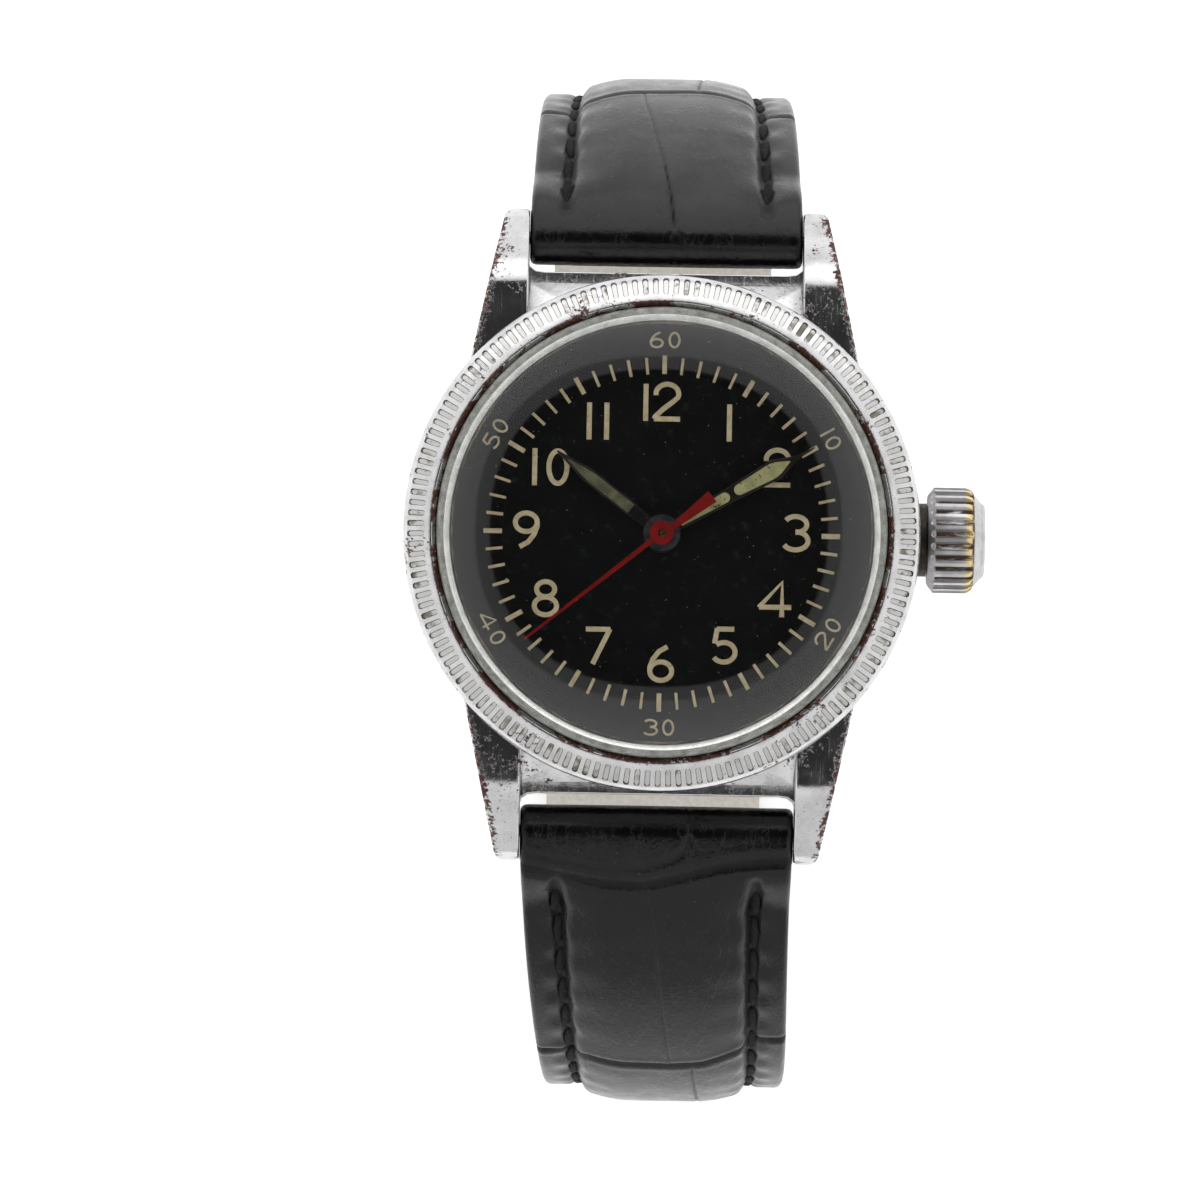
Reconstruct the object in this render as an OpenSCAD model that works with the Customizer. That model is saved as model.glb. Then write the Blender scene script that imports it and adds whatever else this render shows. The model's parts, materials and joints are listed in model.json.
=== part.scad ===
// Hand-wound pilot watch with a coin-edge bezel and a padded leather strap.
// The dial faces +Z, 12 o'clock is +Y and the crown is on +X.
// The origin is the centre of the case back's flat outer face. Millimetres.

/* [Case] */
// Diameter of the middle case
case_d = 31; // [30.6:0.1:31.4]
// How far the coin-edge bezel stands out past the middle case
bezel_over = 0.65; // [0.4:0.05:0.9]
// Number of grooves in the bezel's edge
bezel_grooves = 150; // [120:10:160]
// Depth of the grooves, measured inwards
groove_depth = 1.0; // [0.8:0.05:1.1]
// Height of the middle case above its lower edge
case_h = 5.8; // [5.6:0.1:6]
// Thickness of the case back under the middle case
back_t = 1.2; // [1.1:0.05:1.4]
// Distance between the outer ends of opposite lugs
lug_span = 41.0; // [40.6:0.1:41.6]
// Width of the gap between a pair of lugs
lug_gap = 17.2; // [16.8:0.1:17.6]
// Width of a lug at its tip
lug_tip_w = 1.65; // [1.5:0.05:2]
// Radius of a lug's rounded tip, seen from the side
lug_tip_r = 1.85; // [1.75:0.05:2]
// Room between the strap's roll and the straight wall between the lugs
wall_room = 0.65; // [0.5:0.05:0.8]

/* [Crystal and dial] */
// Rise of the crystal's dome above the bezel's lip
dome_rise = 2.5; // [2.2:0.1:3]
// Thickness of the crystal
crystal_t = 1.2; // [1:0.05:1.4]
// Room round the dial's edge in the case
dial_room = 0.45; // [0.3:0.05:0.5]
// Thickness of the dial
dial_t = 0.4; // [0.35:0.05:0.5]
// Length of the hour hand from the centre to its tip
hour_len = 8.3; // [7.5:0.1:9]
// Length of the minute hand from the centre to its tip
minute_len = 10.9; // [10:0.1:11.6]
// Length of the seconds hand from the centre to its tip
second_len = 10.8; // [10:0.1:11.6]
// Length of the seconds hand's counterweight
second_tail = 3.85; // [3:0.05:4.5]

/* [Crown] */
// Diameter of the crown
crown_d = 6.65; // [6:0.05:6.8]
// Length of the crown
crown_l = 3.6; // [3.4:0.1:4.2]
// Number of flutes round the crown
crown_flutes = 26; // [20:1:32]
// Travel of the crown when it is pulled out
crown_pull = 0.9; // [0.8:0.05:1]

/* [Strap] */
// Width of the strap between the lugs
strap_w = 17; // [16.6:0.1:17]
// Width of the strap at its ends
strap_end_w = 14.5; // [13.5:0.1:15]
// Thickness of the padding at the strap's crown by the lugs
pad_t = 1.3; // [1:0.05:1.5]
// Thickness of the leather along the strap's edges
edge_t = 1.0; // [0.8:0.05:1.1]
// Thickness of the lining
lining_t = 0.9; // [0.7:0.05:1]
// Furthest reach of the 12 o'clock half's lining seam from the case's centre
reach_12 = 28.2; // [27.5:0.1:29.5]
// Furthest reach of the 6 o'clock half's lining seam from the case's centre
reach_6 = 33.6; // [33:0.1:35]
// Height of the case back above the surface that the strap stands on
stand_h = 50; // [49:0.5:52]
// Distance between the holes for the buckle's tongue
hole_pitch = 6.5; // [6:0.1:7]
// Diameter of the holes for the buckle's tongue
hole_d = 1.8; // [1.6:0.1:2.2]

/* [Buckle] */
// Thickness of the buckle's frame
buckle_t = 1.7; // [1.5:0.1:2]
// Length of the buckle's frame from its bar to its front
buckle_l = 9.5; // [8.5:0.5:10.5]
// Diameter of the buckle's bar
buckle_bar_d = 1.2; // [1.1:0.05:1.4]
// Width of a keeper along the strap
keeper_w = 4.5; // [4:0.1:5]
// Thickness of a keeper's leather
keeper_t = 1.1; // [0.9:0.05:1.3]

/* [Movement] */
// Diameter of the movement's main plate
plate_d = 24; // [23.9:0.05:24]
// Thickness of the main plate
plate_t = 1.1; // [1.1:0.01:1.15]
// Thickness of the ratchet wheel and the crown wheel
ratchet_t = 0.3; // [0.25:0.01:0.32]
// Thickness of the wheels of the going train
wheel_t = 0.15; // [0.12:0.01:0.18]
// Diameter of the stem
stem_d = 1.0; // [0.9:0.02:1.04]

/* [Hidden] */
$fn = 64;
e = 0.01;

// Clearances
run = 0.04;
gap = 0.1;
seat = 0.02;

// Heights in the case
case_z = back_t;
case_top = case_z + case_h;
ledge_z = case_top - 0.58;
seat_z = case_top + 0.2;
collar_z = case_top + 1.0;
flange_z = seat_z + 1.0;
lip_z = case_top + 2.0;
dome_z = lip_z + dome_rise;

// Radii in the case
case_r = case_d / 2;
bezel_r = case_r + bezel_over;
collar_r = case_r - 0.6;
flange_r = collar_r - 0.65;
glass_r = flange_r - 0.2;
ring_r = glass_r - 0.65;
ledge_r = ring_r - 0.2;
bore_r = ledge_r + 0.6;
ring_in_r = ring_r - 0.45;
back_r = bore_r + 0.8;
back_face_r = back_r - 2.0;
lip_r = collar_r - 0.5;
lip_in_r = lip_r - 0.3;
glass_in_r = ring_in_r - 0.05;
seal_r = back_r - 0.2;
seal_w = 0.4;
seal_t = 0.36;
stem_hole_r = 0.8;
plate_r = plate_d / 2;
dial_r = bore_r - dial_room;

// Spring bars between the lugs
bar_y = lug_span / 2 - lug_tip_r;
bar_z = 2.5;
bar_r = 0.75;
bar_tip_r = 0.4;
bar_hole_depth = 1.0;

// Levels of the movement, measured from the main plate's train side
plate_z = ledge_z - dial_t - seat - 1.8;
plate_top = plate_z + plate_t;
dial_z = plate_z + 1.8;
bridge_z = plate_z - 1.9;
bridge_t = 0.6;
train_z = plate_z - 2.3;
train_t = 0.45;
ratchet_z = bridge_z - 0.35;
balance_z = plate_z - 1.2;
fork_z = plate_z - 0.45;
stem_z = plate_z - 0.4;
stem_r = stem_d / 2;

// Teeth of the going train and the motion work
barrel_n = 84;
centre_leaf_n = 12;
centre_n = 80;
third_leaf_n = 10;
third_n = 75;
fourth_leaf_n = 10;
fourth_n = 80;
escape_leaf_n = 8;
escape_n = 15;
cannon_n = 12;
minute_n = 36;
minute_leaf_n = 10;
hour_n = 40;
setting_n = 26;
ratchet_n = 50;
crown_wheel_n = 31;
winding_n = 20;

// Modules of the gears
barrel_m = 0.12;
train_m = 0.1;
third_m = 9 / (third_n + fourth_leaf_n);
motion_m = 0.1;
hour_m = 4.8 / (hour_n + minute_leaf_n);
winding_m = 0.17;

// Places of the arbors, seen from the dial side
barrel_dir = 62.06;
third_dir = 150.02;
escape_dir = -75;
fork_dir = 193.1;
barrel_p = polar(barrel_m * (barrel_n + centre_leaf_n) / 2, barrel_dir);
third_p = polar(train_m * (centre_n + third_leaf_n) / 2, third_dir);
escape_p = polar(train_m * (fourth_n + escape_leaf_n) / 2, escape_dir);
pallet_p = escape_p + polar(2.2, fork_dir);
balance_p = pallet_p + polar(3.395, fork_dir);
minute_p = [motion_m * (cannon_n + minute_n) / 2, 0];
setting_p = minute_p + [motion_m * (minute_n + setting_n) / 2, 0];
ratchet_span = winding_m * (ratchet_n + crown_wheel_n) / 2;
crown_wheel_p = [barrel_p[0] + sqrt(pow(ratchet_span, 2) - pow(barrel_p[1], 2)), 0];
click_p = barrel_p + polar(5.55, 25);

// Barrel
drum_z = plate_z - 1.2;
barrel_r = 4.82;

// Screws of the bridges, then those of the setting bridge
screw_r = 0.29;
screw_head_r = 0.55;
screw_hole_r = 0.32;
post_step = 0.15;
screw_places = [[-1.5, 10.7], [10.3, 3.6], [8.4, -2.6], [-9.8, 1.5], [6.0, -8.0], [-10.2, -2.6], [-0.5, -8.9]];
screw_tops = [bridge_z, bridge_z, bridge_z, train_z, train_z, train_z, plate_z - 0.75];
cover_screws = [[7.1, 3.3], [8.1, -2.6]];

// Parts on the stem, by their place along X
winding_r = winding_m * winding_n / 2;
winding_x = crown_wheel_p[0] + winding_m * crown_wheel_n / 2 - 0.15;
winding_end_x = winding_x + 0.5;
sliding_x = 7.65;
sliding_m = 0.115;
sliding_n = 20;
sliding_r = sliding_m * (sliding_n / 2 + 0.7);
yoke_x = sliding_x + 0.825;
yoke_p = [8.9, 4.9];
yoke_travel = 0.6;
setting_depth = 0.45;
lever_r = 2.6;
lever_x = 10.7;
lever_p = [lever_x + crown_pull / 2, -lever_r];
lever_angle = asin(crown_pull / 2 / lever_r);
crown_x = bezel_r + 0.5;
crown_r = crown_d / 2;
tube_flange_r = 2.3;
tube_r = 1.1;
gasket_r = 1.7;

// Arbors and pipes at the centre
second_arbor_r = 0.11;
centre_bore_r = 0.16;
centre_tube_r = 0.30;
cannon_r = 0.46;
hour_bore_r = 0.50;
hour_pipe_r = 0.78;
arbor_r = 0.2;
pivot_r = 0.09;
jewel_r = 0.45;
jewel_t = 0.25;

// Levels of the hands
hand_t = 0.15;
hour_hand_z = dial_z + dial_t + 0.45;
minute_hand_z = hour_hand_z + 0.4;
second_hand_z = minute_hand_z + 0.45;
hour_angle = 307.3;
minute_angle = 59.8;
second_angle = 231.3;

// The dial's two feet
foot_r = 0.2;
foot_angles = [45, 225];
foot_ring_r = 11.6;
dial_rim_r = 11.2;

// Strap: its roll round the spring bar, its turn under the watch and its flat ends
roll_r = 1.7;
start_angle = -20;
seam_shift = roll_r - lining_t;
turn_z = -19;
flat_pad_t = 0.5;
flat_z_12 = -36.5;
flat_end_12 = 2.0;
flat_z_6 = -stand_h + edge_t + flat_pad_t;
flat_end_6 = 24;
strap_tip_l = 9;
strap_edge_w = 2;
first_hole_y = 13;

// Buckle, on the 12 o'clock half's end
end_roll_r = 1.25;
buckle_y = flat_end_12 - 1.0;
keeper_y = buckle_y + 4.2;
free_keeper_y = buckle_y + 10.6;
buckle_arm_w = 1.7;
tongue_w = 1.4;

// Steel, brass, leather and the other colours of the photograph
chrome = [0.80, 0.79, 0.77];
steel = [0.62, 0.62, 0.64];
brass = [0.78, 0.62, 0.34];
gilt = [0.74, 0.66, 0.50];
ruby = [0.75, 0.12, 0.22];
leather = [0.05, 0.05, 0.055];
lining_colour = [0.74, 0.71, 0.65];
print_red = [0.78, 0.12, 0.11];
dial_black = [0.03, 0.03, 0.03];

// Plane geometry

function polar(r, a) = [r * cos(a), r * sin(a)];

// Points of an arc from angle a to angle b in n steps
function arc(c, r, a, b, n) = [for (i = [0 : n]) c + polar(r, a + (b - a) * i / n)];

// A point of a cubic curve
function cubic(p, t) = pow(1 - t, 3) * p[0] + 3 * t * pow(1 - t, 2) * p[1]
    + 3 * t * t * (1 - t) * p[2] + pow(t, 3) * p[3];

// How far wheel B is turned so that its gaps meet the teeth of wheel A at direction d
function mesh_turn(na, turn_a, nb, d) = d + 180 + 180 / nb - (turn_a - d) * na / nb;

// Gear blank with n teeth of module m, as an outline
module teeth(n, m, tip = 0.7, root = 1.15, turn = 0) {
    pitch_r = m * n / 2;
    step = 360 / n;
    polygon([for (i = [0 : n - 1]) each [
        polar(pitch_r - root * m, turn + step * (i - 0.27)),
        polar(pitch_r + tip * m, turn + step * (i - 0.10)),
        polar(pitch_r + tip * m, turn + step * (i + 0.10)),
        polar(pitch_r - root * m, turn + step * (i + 0.27))]]);
}

// Toothed wheel with spokes, lying on z = 0 about the origin
module wheel(n, m, h, bore, hub, spokes = 5, turn = 0) {
    rim_r = m * n / 2 - 4.2 * m;
    linear_extrude(h) difference() {
        teeth(n, m, turn = turn);
        difference() {
            circle(rim_r);
            circle(hub);
            for (i = [0 : spokes - 1])
                rotate(i * 360 / spokes) translate([0, -0.15]) square([rim_r + 1, 0.3]);
        }
        circle(bore);
    }
}

// Solid pinion with n leaves of module m
module pinion(n, m, h, bore, turn = 0) {
    linear_extrude(h) difference() {
        teeth(n, m, 0.6, 1.2, turn);
        circle(bore);
    }
}

// Arbor with a thinner pivot at each end
module arbor(z0, z1, r, pivot) {
    translate([0, 0, z0]) cylinder(r = pivot_r, h = z1 - z0);
    translate([0, 0, z0 + pivot]) cylinder(r = r, h = z1 - z0 - 2 * pivot);
}

module at(p, z = 0) {
    translate([p[0], p[1], z]) children();
}

// Rounded plate through two places
module arm(p, rp, q, rq) {
    hull() {
        translate(p) circle(rp, $fn = 32);
        translate(q) circle(rq, $fn = 32);
    }
}

// Cylinder along +X
module rod(x0, x1, r, z = stem_z) {
    translate([x0, 0, z]) rotate([0, 90, 0]) cylinder(r = r, h = x1 - x0);
}

module ring(z0, z1, inner, outer) {
    translate([0, 0, z0]) difference() {
        cylinder(r = outer, h = z1 - z0);
        translate([0, 0, -e]) cylinder(r = inner, h = z1 - z0 + 2 * e);
    }
}

// Case

// The lug at +X +Y, which tapers to a round tip
module lug() {
    tip_y = lug_span / 2;
    inner_x = lug_gap / 2;
    tip_x = inner_x + lug_tip_w;
    root_x = inner_x + 3.4;
    root_y = case_r - 4.1;
    round_r = lug_tip_w / 2;
    top = [[tip_y - 1.0, bar_z + 1.55], [tip_y - 3.55, bar_z + 3.0], [tip_y - 5.15, case_top - 0.3],
        [tip_y - 7.55, case_top - 0.1]];
    intersection() {
        union() {
            translate([0, 0, case_z - 1]) linear_extrude(case_h + 1)
                polygon([[inner_x, root_y - 2.4], [inner_x, tip_y - round_r], [tip_x, tip_y - round_r],
                    [root_x, root_y], [root_x + 0.2, root_y - 2.4]]);
            translate([inner_x + round_r, tip_y - round_r, case_z - 1]) cylinder(r = round_r, h = case_h + 1);
        }
        rotate([90, 0, 90]) linear_extrude(40) polygon(concat(
            [[root_y - 2.9, case_z + 0.1], [case_r - 1.0, case_z - 0.35]],
            arc([bar_y, bar_z], lug_tip_r, -90, 55, 10),
            [for (i = [1 : 8]) cubic(top, i / 8)],
            [[root_y - 2.9, case_top - 0.05]]));
    }
}

module case_body() color(chrome) difference() {
    wall_y = bar_y - roll_r - wall_room;
    union() {
        translate([0, 0, case_z]) cylinder(r = case_r, h = case_h, $fn = 96);
        translate([0, 0, case_top - e]) cylinder(r = collar_r, h = collar_z - case_top + e, $fn = 96);
        translate([-lug_gap / 2 - 3 * e, -wall_y, case_z + 0.3])
            cube([lug_gap + 6 * e, 2 * wall_y, case_h - 0.5]);
        for (mx = [0, 1], my = [0, 1]) mirror([mx, 0, 0]) mirror([0, my, 0]) lug();
    }
    translate([0, 0, -e]) cylinder(r = bore_r, h = ledge_z + e, $fn = 96);
    translate([0, 0, case_z - e]) difference() {
        cylinder(r = seal_r + 0.05, h = seal_t + 2 * seat + e);
        cylinder(r = seal_r - seal_w - 0.05, h = seal_t + 2 * seat + e);
    }
    translate([0, 0, -1]) cylinder(r = back_r + 0.05, h = case_z + 1, $fn = 96);
    cylinder(r = ledge_r, h = dome_z, $fn = 96);
    translate([0, 0, seat_z]) cylinder(r = flange_r + seat, h = dome_z, $fn = 96);
    rod(0, 20, tube_r);
    for (s = [-1, 1]) translate([-lug_gap / 2 - bar_hole_depth, s * bar_y, bar_z])
        rotate([0, 90, 0]) cylinder(r = bar_tip_r + run, h = lug_gap + 2 * bar_hole_depth);
}

module bezel() color(chrome) {
    inner_r = collar_r + 0.04;
    land_r = bezel_r - 0.25 - groove_depth;
    intersection() {
        translate([0, 0, case_top]) linear_extrude(4) coin_edge();
        rotate_extrude($fn = 96) polygon([[inner_r, case_top + seat], [bezel_r - 0.2, case_top + seat],
            [bezel_r, case_top + 0.4], [bezel_r, case_top + 1.2], [land_r - 0.05, lip_z],
            [lip_r, lip_z + 0.05], [lip_in_r, lip_z - 0.05], [lip_in_r, flange_z + seat],
            [inner_r, flange_z + seat]]);
    }
}

// Outline of the bezel with its grooves
module coin_edge() {
    step = 360 / bezel_grooves;
    in_r = bezel_r - 0.25 - groove_depth;
    polygon([for (i = [0 : bezel_grooves - 1]) each [
        polar(bezel_r + 1, step * (i - 0.28)), polar(bezel_r + 1, step * (i + 0.28)),
        polar(in_r, step * (i + 0.32)), polar(in_r, step * (i + 0.68))]]);
}

module crystal() color([0.85, 0.9, 0.92, 0.4]) {
    rim_z = lip_z + 0.75;
    shoulder_z = lip_z + 0.1;
    rise = dome_z - rim_z;
    outer_r = (pow(ring_r, 2) + pow(rise, 2)) / (2 * rise);
    inner_top = dome_z - crystal_t;
    inner_edge = lip_z - 0.25;
    inner_rise = inner_top - inner_edge;
    inner_r = (pow(glass_in_r, 2) + pow(inner_rise, 2)) / (2 * inner_rise);
    outer_a = acos(ring_r / outer_r);
    inner_a = acos(glass_in_r / inner_r);
    rotate_extrude($fn = 96) polygon(concat(
        arc([0, dome_z - outer_r], outer_r, 90, outer_a, 10),
        [[glass_r - 0.25, rim_z - 0.25], [glass_r, shoulder_z], [glass_r, flange_z], [flange_r, flange_z],
            [flange_r, seat_z], [ring_r + seat, seat_z], [ring_r + seat, lip_z - 0.5]],
        arc([0, inner_top - inner_r], inner_r, inner_a, 90, 8)));
}

module tension_ring() color(chrome) rotate_extrude($fn = 96)
    polygon([[ring_in_r + 0.15, seat_z], [ring_r, seat_z], [ring_r, lip_z - 0.55],
        [ring_r - 0.12, lip_z - 0.5], [ring_in_r, seat_z + 0.5], [ring_in_r, seat_z + 0.1]]);

module case_back() color(steel) difference() {
    spigot_r = bore_r - 0.06;
    rotate_extrude($fn = 96) polygon([[0, 0], [back_face_r, 0], [bore_r, 0.3], [back_r, 0.75],
        [back_r, case_z - seat], [spigot_r, case_z - seat], [spigot_r, case_z + 0.8],
        [spigot_r - 0.84, case_z + 0.8], [spigot_r - 0.84, back_t - 0.1], [0, back_t - 0.1]]);
    for (i = [0 : 5]) rotate(i * 60 + 30) translate([back_face_r + 0.7, -1, -e]) cube([3, 2, 0.65]);
}

module back_gasket() color([0.1, 0.1, 0.1])
    ring(case_z + seat, case_z + seat + seal_t, seal_r - seal_w, seal_r);

module movement_ring() color([0.55, 0.55, 0.56]) difference() {
    ring(case_z + 0.85, dial_z - seat, plate_r + 0.05, bore_r - 0.05);
    rod(0, 20, stem_hole_r);
}

// Crown and stem

module crown_tube() color(brass) difference() {
    union() {
        rod(bore_r + 0.5, crown_x + 1.3, tube_r - 0.01);
        rod(case_r + 0.02, crown_x - 0.06, tube_flange_r);
    }
    rod(0, 30, stem_r + 0.06);
}

module crown() color(chrome) difference() {
    intersection() {
        translate([crown_x, 0, stem_z]) rotate([0, 90, 0]) linear_extrude(crown_l) fluted();
        translate([crown_x, 0, stem_z]) rotate([0, 90, 0]) rotate_extrude() polygon(concat(
            [[0, 0], [crown_r - 0.75, 0], [crown_r, 0.4], [crown_r, crown_l - 1.0]],
            arc([crown_r - 1.3, crown_l - 1.3], 1.3, 15, 75, 4),
            [[1.5, crown_l], [0, crown_l]]));
    }
    rod(crown_x - e, crown_x + 1.6, gasket_r + 0.02);
    rod(crown_x, crown_x + 2.6, stem_r - 0.15 + 0.01);
}

// Outline of the crown with its round flutes
module fluted() {
    step = 360 / crown_flutes;
    depth = 0.28;
    polygon([for (i = [0 : crown_flutes - 1]) each [
        polar(crown_r, step * (i - 0.22)), polar(crown_r, step * (i + 0.22)),
        polar(crown_r - depth * 0.8, step * (i + 0.36)), polar(crown_r - depth, step * (i + 0.5)),
        polar(crown_r - depth * 0.8, step * (i + 0.64))]]);
}

module crown_gasket() color([0.1, 0.1, 0.1]) difference() {
    rod(crown_x + 0.45, crown_x + 1.25, gasket_r);
    rod(crown_x, crown_x + 2, tube_r + 0.02);
}

module stem() color(steel) difference() {
    union() {
        rod(5.75, 6.95, 0.28);
        translate([6.9, -0.3, stem_z - 0.3]) cube([2.35, 0.6, 0.6]);
        rod(9.2, crown_x + 1.4, stem_r);
        rod(crown_x + 1.4 - e, crown_x + 2.6, stem_r - 0.15);
    }
    difference() {
        rod(lever_x - 0.2, lever_x + 0.2, stem_r + 0.1);
        rod(lever_x - 0.3, lever_x + 0.3, 0.3);
    }
}

// Dial and hands

module dial() color(dial_black) {
    translate([0, 0, dial_z]) linear_extrude(dial_t) difference() {
        circle(dial_r, $fn = 96);
        circle(hour_pipe_r + 0.15);
    }
    for (a = foot_angles) at(polar(foot_ring_r, a), plate_top + 0.1)
        cylinder(r = foot_r, h = dial_z - plate_top - 0.1 + e);
}

// A hand lies along +Y and is turned to where the photograph shows it
module hand(angle, z, outline, tail_r, bore, pipe_h) rotate(-angle) translate([0, 0, z]) {
    linear_extrude(hand_t) difference() {
        union() {
            polygon(concat(outline, [for (i = [len(outline) - 1 : -1 : 0])
                if (outline[i][0] > 0) [-outline[i][0], outline[i][1]]]));
            circle(tail_r);
        }
        circle(bore);
    }
    if (pipe_h > 0) translate([0, 0, -pipe_h]) difference() {
        cylinder(r = tail_r * 0.8, h = pipe_h + e);
        translate([0, 0, -e]) cylinder(r = bore, h = pipe_h + 3 * e);
    }
}

module hour_hand() color([0.12, 0.11, 0.10])
    hand(hour_angle, hour_hand_z,
        [[0.30, 0.6], [0.42, hour_len * 0.3], [0.42, hour_len * 0.8], [0.06, hour_len]], 1.2, hour_pipe_r + 0.01, 0.2);

module minute_hand() color([0.12, 0.11, 0.10])
    hand(minute_angle, minute_hand_z, [[0.30, 0.6], [0.34, minute_len * 0.42], [0.55, minute_len * 0.74],
        [0.12, minute_len * 0.87], [0.06, minute_len]], 1.12, cannon_r + 0.01, 0.1);

module second_hand() color(print_red) {
    rotate(-second_angle) translate([0, 0, second_hand_z]) linear_extrude(hand_t - 0.03) difference() {
        union() {
            circle(0.75);
            polygon([[-0.16, 0], [-0.07, second_len], [0.07, second_len], [0.16, 0]]);
            polygon([[-0.19, 0], [-0.41, -second_tail], [0.41, -second_tail], [0.19, 0]]);
        }
        circle(second_arbor_r + 0.005);
    }
    ring(minute_hand_z + hand_t + 0.12, second_hand_z + e, second_arbor_r + 0.005, 0.35);
}

// Plate and bridges

// The keyless work's channel for the stem and its pinions
module stem_channel() {
    rod(sliding_x - yoke_travel - 0.1, winding_x - 0.55, sliding_r + 0.06);
    rod(winding_x - 0.6, winding_x - 0.08, 1.35);
    rod(winding_x - 0.1, winding_end_x + 0.1, winding_r + 0.24);
    rod(winding_end_x, 30, stem_r + 0.1);
}

module screw_holes() {
    for (p = screw_places) at(p) cylinder(r = screw_hole_r, h = 20);
    for (i = [0 : 6]) at(screw_places[i], screw_tops[i] - 1) cylinder(r = screw_head_r + 0.05, h = 1.25);
}

module main_plate() color(gilt) difference() {
    union() {
        translate([0, 0, plate_z]) cylinder(r = plate_r, h = plate_t, $fn = 96);
        difference() {
            ring(plate_top - e, dial_z - seat, dial_rim_r, plate_r);
            translate([9.8, -3.7, plate_top]) cube([3, 5.2, 3]);
        }
        at(minute_p, plate_top - e) cylinder(r = 0.25, h = 0.55);
        translate([5.75, -0.8, plate_z - 1.1]) cube([1.2, 1.6, 1.2]);
    }
    cylinder(r = centre_tube_r + run, h = 20);
    translate([0, 0, plate_z - e]) cylinder(r = train_m * centre_n / 2 + 0.2, h = 0.26);
    at(third_p, plate_z - e) cylinder(r = 0.8, h = 0.36);
    for (p = [third_p, escape_p, pallet_p, balance_p]) {
        at(p, plate_z - e) cylinder(r = jewel_r + 0.01, h = 0.3 + jewel_t + 2 * seat + e);
        at(p, plate_z) cylinder(r = 0.2, h = 0.9);
    }
    at(barrel_p, plate_z - e) cylinder(r = 0.34, h = 0.6);
    difference() {
        at(setting_p, plate_top - setting_depth - seat) cylinder(r = motion_m * setting_n / 2 + 0.2, h = 5);
        at(setting_p, plate_top - 1) cylinder(r = 0.3, h = 1.3);
    }
    stem_channel();
    rod(0, 20, 0.3 + run);
    translate([lever_x - 0.25, -0.3, plate_z]) cube([crown_pull + 0.5, 0.6, 3]);
    at(lever_p, plate_z + 0.3) cylinder(r = 0.3, h = 5);
    at(yoke_p, plate_z + 0.2) cylinder(r = 0.33, h = 5);
    translate([0, 0, plate_top - 0.6]) linear_extrude(3) {
        arm(yoke_p, 0.9, [yoke_x, -0.4], 0.75);
        arm(yoke_p, 0.9, [yoke_x - yoke_travel, -0.4], 0.75);
    }
    for (p = screw_places) at(p, plate_z - e) cylinder(r = screw_hole_r, h = 0.5);
    for (p = cover_screws) at(p, plate_z + 0.3) cylinder(r = screw_hole_r, h = 5);
    for (a = foot_angles) at(polar(foot_ring_r, a), plate_z + 0.3) cylinder(r = foot_r + 0.05, h = 5);
}

module barrel_bridge() color([0.78, 0.77, 0.74]) difference() {
    translate([0, 0, bridge_z]) linear_extrude(plate_z - bridge_z - seat) intersection() {
        circle(plate_r - 0.2, $fn = 96);
        difference() {
            polygon([[-3.2, 14], [14, 14], [14, -3.6], [4.4, -3.6], [4.4, 0], [-3.2, 0]]);
            circle(train_m * fourth_n / 2 + 0.3);
            translate(third_p) circle(third_m * third_n / 2 + 0.25);
        }
    }
    at(barrel_p, bridge_z + bridge_t) cylinder(r = 5.3, h = 5);
    translate([0, 0, bridge_z + bridge_t + 0.5]) cylinder(r = 4.4, h = 5);
    at(barrel_p) cylinder(r = 0.62, h = 20);
    at(crown_wheel_p, bridge_z - e) cylinder(r = 0.32, h = 0.5);
    at(click_p, bridge_z - e) cylinder(r = 0.22, h = 0.5);
    translate([4, -1.0, bridge_z + bridge_t]) cube([3.2, 2.0, 5]);
    stem_channel();
    screw_holes();
}

module train_bridge() color([0.78, 0.77, 0.74]) difference() {
    union() {
        translate([0, 0, train_z]) linear_extrude(train_t) {
            arm([0, 0], 1.22, third_p, 1.2);
            arm(third_p, 1.2, screw_places[3], 1.6);
            arm([0, 0], 1.22, escape_p, 1.1);
            arm(escape_p, 1.1, screw_places[4], 1.6);
        }
        for (i = [3, 4]) at(screw_places[i], train_z)
            cylinder(r = 1.6 - post_step, h = plate_z - train_z - seat);
    }
    for (p = [[0, 0], third_p, escape_p]) {
        at(p, train_z - e) cylinder(r = jewel_r + 0.01, h = jewel_t + 0.05 + e);
        at(p) cylinder(r = 0.3, h = 20);
    }
    screw_holes();
}

module balance_cock() color([0.78, 0.77, 0.74]) difference() {
    union() {
        translate([0, 0, train_z]) linear_extrude(train_t) arm(balance_p, 1.5, screw_places[5], 1.3);
        at(screw_places[5], train_z) cylinder(r = 1.3 - post_step, h = plate_z - train_z - seat);
    }
    at(balance_p, train_z - e) cylinder(r = jewel_r + 0.01, h = jewel_t + 0.05 + e);
    at(balance_p) cylinder(r = 0.3, h = 20);
    screw_holes();
}

module pallet_bridge() color([0.78, 0.77, 0.74]) difference() {
    union() {
        translate([0, 0, plate_z - 0.75]) linear_extrude(0.2) arm(pallet_p, 0.6, screw_places[6], 0.9);
        at(screw_places[6], plate_z - 0.75) cylinder(r = 0.9 - post_step, h = 0.75 - seat);
    }
    at(pallet_p) cylinder(r = 0.13, h = 20);
    at(screw_places[6]) cylinder(r = screw_hole_r, h = 20);
}

module setting_bridge() color(steel) difference() {
    translate([0, 0, dial_z - 0.25]) linear_extrude(0.18) {
        arm(yoke_p, 0.8, cover_screws[0], 0.8);
        arm(cover_screws[0], 0.8, cover_screws[1], 0.8);
        arm(cover_screws[1], 0.8, lever_p - [0.2, 0], 0.6);
    }
    for (p = cover_screws) at(p) cylinder(r = screw_hole_r, h = 20);
}

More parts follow.
